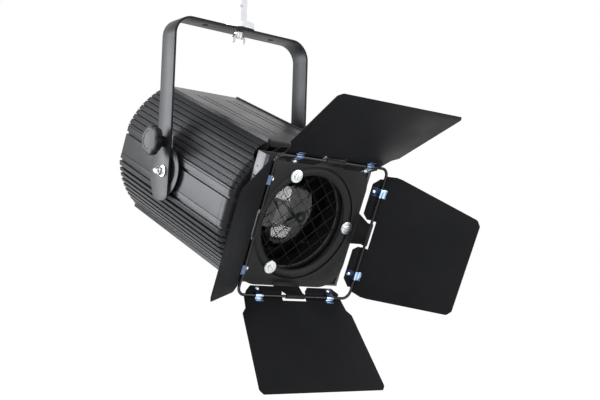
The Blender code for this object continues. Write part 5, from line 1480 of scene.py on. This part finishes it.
@dataclass
class BarnDoor:
    """The carrier in the runners, the bearing ring, and the plate and rod that turn."""

    carrier_half: float = 0.1095
    carrier_height: float = 0.1037
    carrier_rear: float = 0.2177
    carrier_front: float = 0.2197
    ring_inner: float = 0.082
    ring_outer: float = 0.0970
    plate_half: float = 0.110
    plate_corner: float = 0.045
    plate_sheet: float = 0.0012
    plate_middle: float = 0.2228
    retainer_circle: float = 0.090
    retainer_radius: float = 0.011
    retainer_sheet: float = 0.0012
    retainer_hole: float = 0.0023
    screw_head: Point = (0.0052, 0.0024)
    screw_shank: float = 0.0020
    screw_slot: Point = (0.0011, 0.0024)
    rod_corner: float = 0.014
    tab_half: float = 0.0195
    tab_base: float = 0.027
    tab_start: float = 0.0012
    tab_taper: float = 0.020

    def build(self) -> None:
        """Makes the fixed pieces and those that turn; each Leaf makes itself."""
        self.fixed()
        self.turning_plate()
        self.rod_frame()

    def retainer_places(self) -> list[Point]:
        """Centres of the three retaining screws."""
        return [polar(self.retainer_circle, math.radians(a)) for a in (0, 120, 240)]

    def fixed(self) -> None:
        """The carrier, the pressed ring and its three retainers."""
        corners = rectangle(0, 0, 2 * self.carrier_half, 2 * self.carrier_height, 0.003)
        holes = [circle(x, y, self.retainer_hole, 24) for x, y in self.retainer_places()]
        carrier = plate("carrier_plate", [
            corners, circle(0, 0, self.ring_inner, 128), *holes],
            self.carrier_rear, self.carrier_front)
        install(carrier, LAMP, "housing", DOOR_COAT, ["barn_door_carrier"])
        low = self.carrier_front + CLEAR
        crest = self.plate_middle + self.plate_sheet / 2
        section = fillet([
            (self.ring_inner, low + 0.0004), (self.ring_inner + 0.0030, crest - 0.0008),
            (self.ring_inner + 0.0070, crest), (self.ring_outer - 0.0050, crest),
            (self.ring_outer - 0.0004, crest - 0.0022), (self.ring_outer, low),
            (self.ring_inner, low)], 0.0050, 8)
        ring = spin("bearing_ring_pressed", section, 160, closed=True)
        cutters = [rod("bore", self.retainer_hole, low - PROUD, crest + PROUD, place, 24, 0)
                   for place in self.retainer_places()]
        install(combine(ring, cutters), LAMP, "housing", DOOR_COAT, ["bearing_ring"],
                40)
        seat = crest + CLEAR
        for i, (x, y) in enumerate(self.retainer_places()):
            lower = plate("washer_low", [circle(0, 0, self.retainer_radius)], seat,
                          seat + self.retainer_sheet * 0.96, 0.0003, 2)
            upper = plate("washer_up", [
                circle(0.0002, 0.0001, self.retainer_radius * 0.97)],
                seat + self.retainer_sheet, seat + 2 * self.retainer_sheet, 0.0003, 2)
            head = self.slotted_screw(seat + 2 * self.retainer_sheet, 35 + 50 * i)
            retainer = gather(f"ring_retainer_{i + 1}_fitted", [lower, upper, head])
            install(retainer, LAMP @ Matrix.Translation((x, y, 0)), "housing", ZINC,
                    [f"ring_retainer_{i + 1}"])

    def slotted_screw(self, seat: float, turn: float) -> bpy.types.Object:
        """A cheese head screw with one slot, its shank down through the carrier."""
        head, height = self.screw_head
        shank = self.screw_shank
        top = seat + height
        tip = self.carrier_rear - 0.003
        screw = spin("slotted", fillet([
            (0, top), (head, top), (head, seat), (shank, seat), (shank, tip), (0, tip)],
            0.0006, 4, closed=False), 64)
        slot = block("slot", (3 * head, *self.screw_slot), (0, 0, top), 0)
        slot.data.transform(Matrix.Rotation(math.radians(turn), 4, "Z"))
        return combine(screw, [slot])

    def turning_plate(self) -> None:
        """The square plate with a tab curled round the rod on each side."""
        half = self.plate_half
        outline = round_square(half, self.plate_corner, 24)
        low = self.plate_middle - self.plate_sheet / 2
        base = plate("turning_plate", [
            outline, circle(0, 0, self.ring_outer + CLEAR, 160)],
            low, low + self.plate_sheet)
        wrap = ROD_RADIUS + CLEAR + self.plate_sheet / 2
        axis = ROD_SPAN / 2
        path = fillet([
            (half - 0.006, self.plate_middle), (half - 0.002, self.plate_middle + 0.0002),
            (half + 0.0005, self.plate_middle + self.tab_start),
            (axis - wrap - 0.0004, ROD_FORWARD - 0.006),
            *arc(axis, ROD_FORWARD, wrap, math.pi, 0, 20)], 0.002, 3, closed=False)
        rows = []
        for out, forward in path:
            share = (forward - self.plate_middle - self.tab_start) / self.tab_taper
            share = min(max(share, 0), 1)
            width = self.tab_base + (self.tab_half - self.tab_base) * share
            rows.append([[(out, -width, forward), (out, width, forward)]])
        tabs = []
        for quarter in range(4):
            tab = bent_sheet(f"tab_{quarter}", rows, self.plate_sheet)
            tab.data.transform(Matrix.Rotation(quarter * math.pi / 2, 4, "Z"))
            tabs.append(tab)
        door = gather("turning_plate", [base, *tabs])
        install(door, LAMP, "barn_door", DOOR_COAT, ["barn_door_plate"], 40)

    def rod_frame(self) -> None:
        """The square frame of round rod."""
        points = round_square(ROD_SPAN / 2, self.rod_corner, 12)
        frame = wire("rod_frame", [(x, y, ROD_FORWARD) for x, y in points],
                     ROD_RADIUS, cyclic=True, sides=7)
        install(frame, LAMP, "barn_door", ROD_GLOSS, ["barn_door_rod"], 60)


class LeafShape(Enum):
    """Corners of a leaf: distance from the rod and half width."""

    WIDE = ((0.0, 0.1010), (0.022, 0.1050), (0.031, 0.1137), (0.1625, 0.1280),
            (0.1705, 0.1215))
    NARROW = ((0.0, 0.1040), (0.018, 0.1075), (0.028, 0.1070), (0.165, 0.0842),
              (0.1722, 0.0753))


@dataclass
class Leaf:
    """One leaf of the barn door with its two spring clips and their rivets."""

    side: str
    turn: float
    opening: float
    shape: LeafShape
    sheet: float = 0.001
    behind: float = 0.0034
    rise: float = 0.0004
    tongue: float = 0.018
    fold: float = 0.0070
    foot: float = 0.0042
    inner: float = 0.0245
    chamfer: float = 0.008
    outer: float = 0.097
    tip: float = 0.085
    notch: float = 0.0062
    clip_place: float = 0.074
    clip_width: float = 0.015
    clip_sheet: float = 0.0008
    clip_reach: float = 0.0095
    rivet_place: float = 0.012
    rivet_hole: float = 0.0018
    rivet_head: Point = (0.0034, 0.0024)
    rivet_shank: float = 0.0015
    rivet_tail: tuple[float, float, float] = (0.0025, 0.0022, 0.0012)
    # Painted shade on the clips: the strap darkens over this distance, and the top and left
    # leaves' clips are shaded all over at this level.
    strap_shade_fade: float = 0.0016
    strap_painted_shade_level: float = 0.85

    def place(self) -> Matrix:
        """The hinge's frame: X along the rod, Y out along the leaf, Z off its inside."""
        turn = math.radians(self.turn)
        x, y = polar(ROD_SPAN / 2, turn)
        return (LAMP @ Matrix.Translation((x, y, ROD_FORWARD))
                @ Matrix.Rotation(turn - math.pi / 2, 4, "Z")
                @ Matrix.Rotation(math.pi - math.radians(self.opening), 4, "X"))

    def rows(self) -> list[list[list[tuple[float, float, float]]]]:
        """Rows of points across the leaf from the tongues' tips to the far edge."""
        corners = self.shape.value
        tip_in = self.inner + self.chamfer
        first = corners[0][1]
        bends = [
            (-self.tongue, self.rise, self.tip, tip_in),
            (-self.fold - 0.003, self.rise, self.outer - 0.003, self.inner),
            (-self.fold - 0.0004, self.rise, self.outer, self.inner),
            (-self.fold + 0.0003, self.rise - 0.0003, self.outer, self.inner),
            (-self.foot - 0.0003, 0.0003 - self.behind, self.outer, self.inner),
            (-self.foot + 0.0004, -self.behind, self.outer, self.inner),
            (0, -self.behind, first, self.inner),
            (self.notch, -self.behind, first + 0.001, self.inner),
        ]
        rows = []
        for along, lift, outer, inner in bends:
            rows.append([[(-outer, along, lift), (-inner, along, lift)], [],
                         [(inner, along, lift), (outer, along, lift)]])
        rows[-1][1] = [rows[-1][0][-1], rows[-1][2][0]]
        rounded = fillet([*corners, (corners[-1][0], 0.0)], 0.006, 5, closed=False)
        last = self.notch
        for along, half in rounded:
            if along < last + 0.0004 or half <= self.inner:
                continue
            last = along
            flat = [(x, along, -self.behind)
                    for x in (-half, -self.inner, self.inner, half)]
            rows.append([flat[0:2], flat[1:3], flat[2:4]])
        return rows

    def build(self) -> None:
        """Makes the leaf, its clips and its rivets."""
        node = f"leaf_{self.side}"
        body = f"{self.side}_leaf"
        place = self.place()
        leaf = bent_sheet(f"{node}_folded", self.rows(), self.sheet, 0.00025)
        holes = [rod("rivet_hole", self.rivet_hole, -PROUD, PROUD,
                     (x, -self.rivet_place), 20, 0)
                 for x in (-self.clip_place, self.clip_place)]
        install(combine(leaf, holes), place, body, LEAF_COAT, [node])
        places = [Matrix.Translation((x, 0, 0))
                  for x in (-self.clip_place, self.clip_place)]
        flat = self.rise + self.sheet / 2 + CLEAR + self.clip_sheet / 2
        clips = set_out(f"{node}_spring_clips", self.clip(flat), places, BLUE_ZINC)
        install(clips, place, body, BLUE_ZINC, [f"{node}_clip_1", f"{node}_clip_2"],
                40)
        shift = Matrix.Translation((0, -self.rivet_place, 0))
        rivets = set_out(f"{node}_rivets", self.rivet(flat + self.clip_sheet / 2),
                         [p @ shift for p in places], ZINC)
        install(rivets, place, body, ZINC, (), 40)

    def clip(self, flat: float) -> bpy.types.Object:
        """A spring clip over the rod, whose flat end lies at a height."""
        over = ROD_RADIUS + CLEAR + self.clip_sheet / 2 + 0.0001
        low = -self.behind + self.sheet / 2 + CLEAR + self.clip_sheet / 2
        path = [(-self.rivet_place - 0.0045, flat), (-over - 0.0035, flat)]
        path += arc(0, 0, over, math.radians(125), 0, 12)
        path += [(over + 0.0008, low), (self.clip_reach - 0.002, low),
                 (self.clip_reach, low + 0.0008)]
        path = fillet(path, 0.0012, 3, closed=False)
        half = self.clip_width / 2
        clip = bent_sheet("clip", [[[(-half, y, z), (half, y, z)]] for y, z in path],
                          self.clip_sheet, 0.0002)
        # Painted shade: the strap from the rivet over the rod goes dark and the curled end
        # stays bright; the top and left leaves' clips are darkened all over.
        strap = clip.data.attributes.new("strap", "FLOAT", "POINT")
        dark = self.side in ("top", "left")
        for vertex, item in zip(clip.data.vertices, strap.data):
            shade = min(max(0.5 - vertex.co.y / self.strap_shade_fade, 0.0), 1.0)
            item.value = self.strap_painted_shade_level if dark else shade
        return clip

    def rivet(self, seat: float) -> bpy.types.Object:
        """A rivet with its head's seat at a height and its tail behind the leaf."""
        back = self.rise - self.sheet / 2 - CLEAR
        radius, height = self.rivet_head
        shank = self.rivet_shank
        wide, narrow, tail = self.rivet_tail
        dome = [(radius * x, seat + height * y)
                for x, y in arc(0, 0, 1, math.pi / 2, 0.0, 9)[1:]]
        return spin("rivet", [
            (0, seat + height), *dome, (shank, seat), (shank, back), (wide, back),
            (narrow, back - tail), (0, back - tail)], 32)


@dataclass
class Optics:
    """The lens in its ring on the carriage, with the focus drive."""

    lens_radius: float = 0.0745
    lens_edge: float = 0.004
    lens_dome: float = 0.024
    lens_back: float = 0.140
    ring_wall: float = 0.0045
    ring_lip: float = 0.0011
    lip_thickness: float = 0.0012

    def build(self) -> None:
        """Makes the lens, its ring and the focus knob."""
        edge = self.lens_back + self.lens_edge
        self.lens(edge)
        self.ring(edge + 0.0010)
        Knob("focus_knob", "focus_drive", SPINDLE, 0.016, 0.022, 24, bore=0.0062).build()

    def lens(self, edge: float) -> None:
        """The flat-backed lens, whose dome starts at a place along the beam."""
        sphere = (self.lens_radius ** 2 + self.lens_dome ** 2) / (2 * self.lens_dome)
        centre = edge + self.lens_dome - sphere
        spread = math.asin(self.lens_radius / sphere)
        dome = [(r, z) for z, r in arc(centre, 0, sphere, 0, spread, 36)]
        dome[0] = (0.0, edge + self.lens_dome)
        rim = fillet([dome[-1], (self.lens_radius, self.lens_back), (0, self.lens_back)],
                     0.0004, 3, closed=False)
        lens = spin("lens_ground", dome + rim[1:], 128)
        install(lens, LAMP, "lens_travel", GLASS, ["lens"], 40)

    def ring(self, low: float) -> None:
        """The ring round the lens, with a lip over its edge."""
        inner = self.lens_radius + CLEAR
        outer = inner + self.ring_wall
        lip = self.lens_radius - self.ring_lip
        top = low + self.lip_thickness
        ring = spin("lens_ring_turned", fillet([
            (lip, top), (outer, top), (outer, self.lens_back),
            (inner, self.lens_back), (inner, low), (lip, low)], 0.0004, 3), 128,
            closed=True)
        install(ring, LAMP, "lens_travel", THROAT_BLACK, ["lens_ring"])


@dataclass
class Knob:
    """A turned knob on the rear panel, with flutes round its grip and a pointer line."""

    node: str
    body: str
    centre: Point
    radius: float
    length: float
    flutes: int
    bore: float = 0.0
    bore_depth: float = 0.0137

    def build(self) -> None:
        """Makes the knob."""
        radius = self.radius
        high = -CLEAR
        low = high - self.length
        depth = high - self.bore_depth
        profile = [(self.bore, high), (radius, high), (radius, high - 0.003),
                   (radius * 0.95, high - 0.0035), (radius * 0.95, low + 0.0025),
                   (radius * 0.84, low), (0, low)]
        if self.bore:
            profile += [(0, depth), (self.bore, depth)]
        name = f"{self.node}_fluted"
        turned = spin(name, fillet(profile, 0.0009, 4), closed=True)
        ridges = flutes_tree().grow("flutes", {
            "Count": self.flutes, "Radius": radius * 0.945, "Ridge Radius": radius * 0.055,
            "Length": self.length * 0.62,
            "Height": (high + low) / 2 - self.length * 0.02,
            "Finish": KNOB_PLASTIC.material()})
        line = block("pointer", (radius * 0.09, radius * 0.7, 0.0005),
                     (0, radius * 0.45, low + 0.0002), 0)
        knob = gather(name, [turned, ridges, line])
        install(knob, LAMP @ Matrix.Translation((*self.centre, PANEL_REAR)), self.body,
                KNOB_PLASTIC, [self.node], 40)


@dataclass
class RearEnd:
    """The rear panel with its grille, its screws, the sockets, the knob and display."""

    thickness: float = 0.003
    display: tuple[float, float, float, float] = (-0.018, 0.078, 0.044, 0.018)
    pane: Point = (0.0035, 0.00145)
    menu: Point = (0.030, 0.078)
    inlet: Point = (-0.062, -0.074)
    sockets: tuple[Point, ...] = ((-0.021, -0.088), (0.017, -0.088))
    flange: tuple[float, float, float] = (0.026, 0.031, 0.002)
    grille_slots: int = 7
    grille_pitch: float = 0.0095
    grille_slot: float = 0.0045
    grille_radius: float = 0.0375
    screw_circle: float = 0.1215
    spindle_hole: float = 0.0063
    menu_hole: float = 0.0033
    socket_hole: float = 0.0120
    socket_well: float = 0.0092
    socket_barrel: float = 0.0115
    socket_reach: float = 0.024
    well_depth: float = 0.014
    contact_circle: float = 0.0045
    contact_radius: float = 0.0009

    def build(self) -> None:
        """Makes the panel and all that is fitted to it."""
        self.panel()
        self.socket("power_inlet", "blue_zinc", [self.inlet], BLUE_PLASTIC, 3)
        self.socket("data_sockets", "zinc", self.sockets, ZINC, 5)
        x, y, width, height = self.display
        depth, forward = self.pane
        window = block("display_pane", (width, height, depth),
                       (x, y, PANEL_REAR + forward), 0.0004)
        install(window, LAMP, "housing", DISPLAY, ["display_window"])
        Knob("menu_knob", "menu", self.menu, 0.0075, 0.012, 16).build()

    def panel(self) -> None:
        """The panel with its openings and the screws round it."""
        edge = math.asin(END_PLATE_FLAT / END_PLATE_RADIUS)
        right = arc(0, 0, END_PLATE_RADIUS, -edge, edge, 48)
        outline = right + [(-x, -y) for x, y in right]
        holes = [circle(*SPINDLE, self.spindle_hole, 32),
                 circle(*self.menu, self.menu_hole, 24)]
        x, y, width, height = self.display
        holes.append(rectangle(x, y, width + 2 * CLEAR, height + 2 * CLEAR))
        holes += [circle(*place, self.socket_hole, 40)
                  for place in (self.inlet, *self.sockets)]
        for i in range(self.grille_slots):
            y = (i - (self.grille_slots - 1) / 2) * self.grille_pitch
            reach = self.grille_radius ** 2 - (abs(y) + self.grille_slot / 2) ** 2
            holes.append(rectangle(0, y, 2 * math.sqrt(max(reach, 0.0001)),
                                   self.grille_slot, self.grille_slot * 0.45))
        panel = plate("rear_panel_punched", [outline, *holes], PANEL_REAR,
                      PANEL_REAR + self.thickness)
        install(panel, LAMP, "housing", COVER_COAT, ["rear_panel"])
        over = Matrix.Rotation(math.pi, 4, "X")
        ring = [polar(self.screw_circle, math.radians(a)) for a in (33, 147, 213, 327)]
        places = [Matrix.Translation((x, y, PANEL_REAR)) @ over for x, y in ring]
        screws = set_out("panel_screws", pan_screw(0.0025), places, ZINC)
        install(screws, LAMP, "housing", ZINC, ())

    def socket(self, node: str, slot: str, places: Sequence[Point], finish: Finish,
               pins: int) -> None:
        """Round sockets in one flange, each with its well and its contacts."""
        name = f"{node}_moulded"
        front = PANEL_REAR - CLEAR
        low = front - 0.002
        well = self.socket_well
        spread = places[-1][0] - places[0][0]
        middle = (places[0][0] + places[-1][0]) / 2
        width, height, corner = self.flange
        parts = [plate(name, [
            rectangle(middle, places[0][1], spread + width, height, corner),
            *(circle(x, y, well, 48) for x, y in places)], low, front, 0.0004)]
        contacts = []
        for x, y in places:
            barrel = spin("barrel", fillet([
                (well, front - 0.001), (self.socket_barrel, front - 0.001),
                (self.socket_barrel, front + self.socket_reach),
                (0, front + self.socket_reach), (0, low + self.well_depth),
                (well, low + self.well_depth)], 0.0004, 3), 64, closed=True)
            barrel.data.transform(Matrix.Translation((x, y, 0)))
            parts.append(barrel)
            for k in range(pins):
                a, b = polar(self.contact_circle, math.tau * k / pins + math.pi / 2)
                contacts.append(rod(f"pin_{k}", self.contact_radius, low + 0.003,
                                    low + 0.0145, (x + a, y + b), 16, 0.0002))
        install(gather(name, parts), LAMP, "housing", finish, [node], 40)
        install(gather(name + "_pins", contacts), LAMP, "housing", BRASS, ())


@dataclass
class InnerWorks:
    """Finishes for the solids whose shapes stay: the inner works, a pin, stud and claw."""

    finishes: dict[str, Finish] = field(default_factory=lambda: {
        "rail_frame": BARE_ALUMINIUM, "heat_sink": BARE_ALUMINIUM,
        "light_cone": BARE_ALUMINIUM, "power_supply": BARE_ALUMINIUM,
        "led_board": EMITTER, "control_board": BOARD_GREEN, "fan_frame": KNOB_PLASTIC,
        "fan_rotor": KNOB_PLASTIC, "lens_carriage": THROAT_BLACK,
        "focus_spindle": ZINC, "catch_pin": ZINC, "clamp_stud": ZINC, "clamp_claw": ZINC,
    })

    def dress(self, nodes: dict[str, bpy.types.Object]) -> None:
        """Gives each kept solid its finish."""
        for name, finish in self.finishes.items():
            mesh = nodes[name].data
            mesh.materials.clear()
            mesh.materials.append(finish.material())
            log.info("%s keeps its solid, finish %s", name, finish.name)


@dataclass
class Studio:
    """The pale floor, the white surround, the soft boxes and the camera."""

    camera_place: tuple[float, float, float] = (-1.067, -1.5109, -0.5843)
    yaw: float = -38.9646
    pitch: float = 5.771
    roll: float = 1.7554
    focal_pixels: float = 1037.81
    picture_width: int = 600
    floor_z: float = -1.35
    floor_glow: float = 0.80
    world_light: float = 0.28
    cool: Colour = (0.93, 0.955, 1.0)

    def build(self) -> None:
        """Sets up the floor, the world, the lights and the camera."""
        self.floor()
        self.world()
        door = (0, -0.15, -0.43)
        self.soft_box("rear_left_box", (-1.185, 0.914, -0.22), (-0.15, -0.05, -0.3),
                      (0.95, 1.2), 46, self.cool)
        self.soft_box("left_fill_box", (-1.75, 0.1, -0.25), (-0.14, 0, -0.3), (1.0, 1.3), 4,
                      self.cool)
        self.soft_box("window_box", (-2.2, -2.0, 0.5), (0, 0, -0.4), (0.7, 1.1), 60)
        self.soft_box("front_box", (0.45, -1.02, -0.54), door, (0.5, 0.34), 3.5)
        self.soft_box("right_box", (0.74, 0.07, -0.59), door, (0.18, 0.24), 0.5)
        self.soft_box("back_right_box", (1.3, 1.5, 0.9), (0, 0, -0.3), (1.4, 1.2), 3)
        self.camera()

    def floor(self) -> None:
        """A plain pale floor that keeps the shadow."""
        shape = bmesh.new()
        bmesh.ops.create_grid(shape, x_segments=1, y_segments=1, size=30,
                              matrix=Matrix.Translation((0, 0, self.floor_z)))
        floor = from_bmesh("studio_floor", shape, outwards=False)
        material = bpy.data.materials.new("studio_floor_white")
        material.use_nodes = True
        tree = material.node_tree
        shader = tree.nodes["Principled BSDF"]
        shader.inputs["Base Color"].default_value = (0.8, 0.8, 0.8, 1)
        shader.inputs["Roughness"].default_value = 0.9
        shader.inputs["Specular IOR Level"].default_value = 0.1
        nodes = NodeMaker(tree)
        glow = nodes.maths("MULTIPLY", nodes.seen_directly(), self.floor_glow)
        shader.inputs["Emission Color"].default_value = (1, 1, 1, 1)
        tree.links.new(glow, shader.inputs["Emission Strength"])
        floor.data.materials.append(material)

    def world(self) -> None:
        """A white surround for camera, glossy and transmission rays, dim as a light."""
        world = bpy.data.worlds.new("studio")
        world.use_nodes = True
        bpy.context.scene.world = world
        tree = world.node_tree
        back = tree.nodes["Background"]
        nodes = NodeMaker(tree)
        shown = nodes.add("ShaderNodeMix", {
            0: nodes.seen_directly(), 2: self.world_light, 3: 1.0})
        tree.links.new(shown.outputs[0], back.inputs["Strength"])
        back.inputs["Color"].default_value = (1, 1, 1, 1)

    def soft_box(self, name: str, place: Sequence[float], aim: Sequence[float],
                 size: tuple[float, float], power: float,
                 colour: Colour = (1.0, 1.0, 1.0)) -> None:
        """A rectangular area light aimed at a point."""
        light = bpy.data.lights.new(name, "AREA")
        light.shape = "RECTANGLE"
        light.size, light.size_y = size
        light.energy = power
        light.color = colour
        obj = new_object(name, light)
        obj.location = place
        beam = Vector(aim) - Vector(place)
        obj.rotation_euler = beam.to_track_quat("-Z", "Y").to_euler()

    def camera(self) -> None:
        """The camera at the photograph's viewpoint."""
        data = bpy.data.cameras.new("camera")
        data.sensor_width = 36
        data.lens = self.focal_pixels * data.sensor_width / self.picture_width
        camera = new_object("camera", data)
        turn = (Matrix.Rotation(math.radians(self.yaw), 4, "Z")
                @ Matrix.Rotation(math.radians(90 + self.pitch), 4, "X")
                @ Matrix.Rotation(math.radians(self.roll), 4, "Z"))
        camera.matrix_world = Matrix.Translation(self.camera_place) @ turn
        bpy.context.scene.camera = camera
        bpy.context.scene.view_settings.view_transform = "Standard"


def main() -> None:
    """Builds the spotlight and its studio."""
    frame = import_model()
    HangingEnd().build()
    Yoke().build()
    TiltClamp().build()
    TiltPivot().build()
    Housing().build()
    FrontEnd().build()
    BarnDoor().build()
    for leaf in (
        Leaf("right", 0, 125.0, LeafShape.NARROW),
        Leaf("top", 90, 136.0, LeafShape.WIDE),
        Leaf("left", 180, 138.0, LeafShape.NARROW),
        Leaf("bottom", 270, 125.5, LeafShape.WIDE),
    ):
        leaf.build()
    Optics().build()
    RearEnd().build()
    InnerWorks().dress(frame["nodes"])
    Studio().build()


if __name__ == "__main__":
    main()
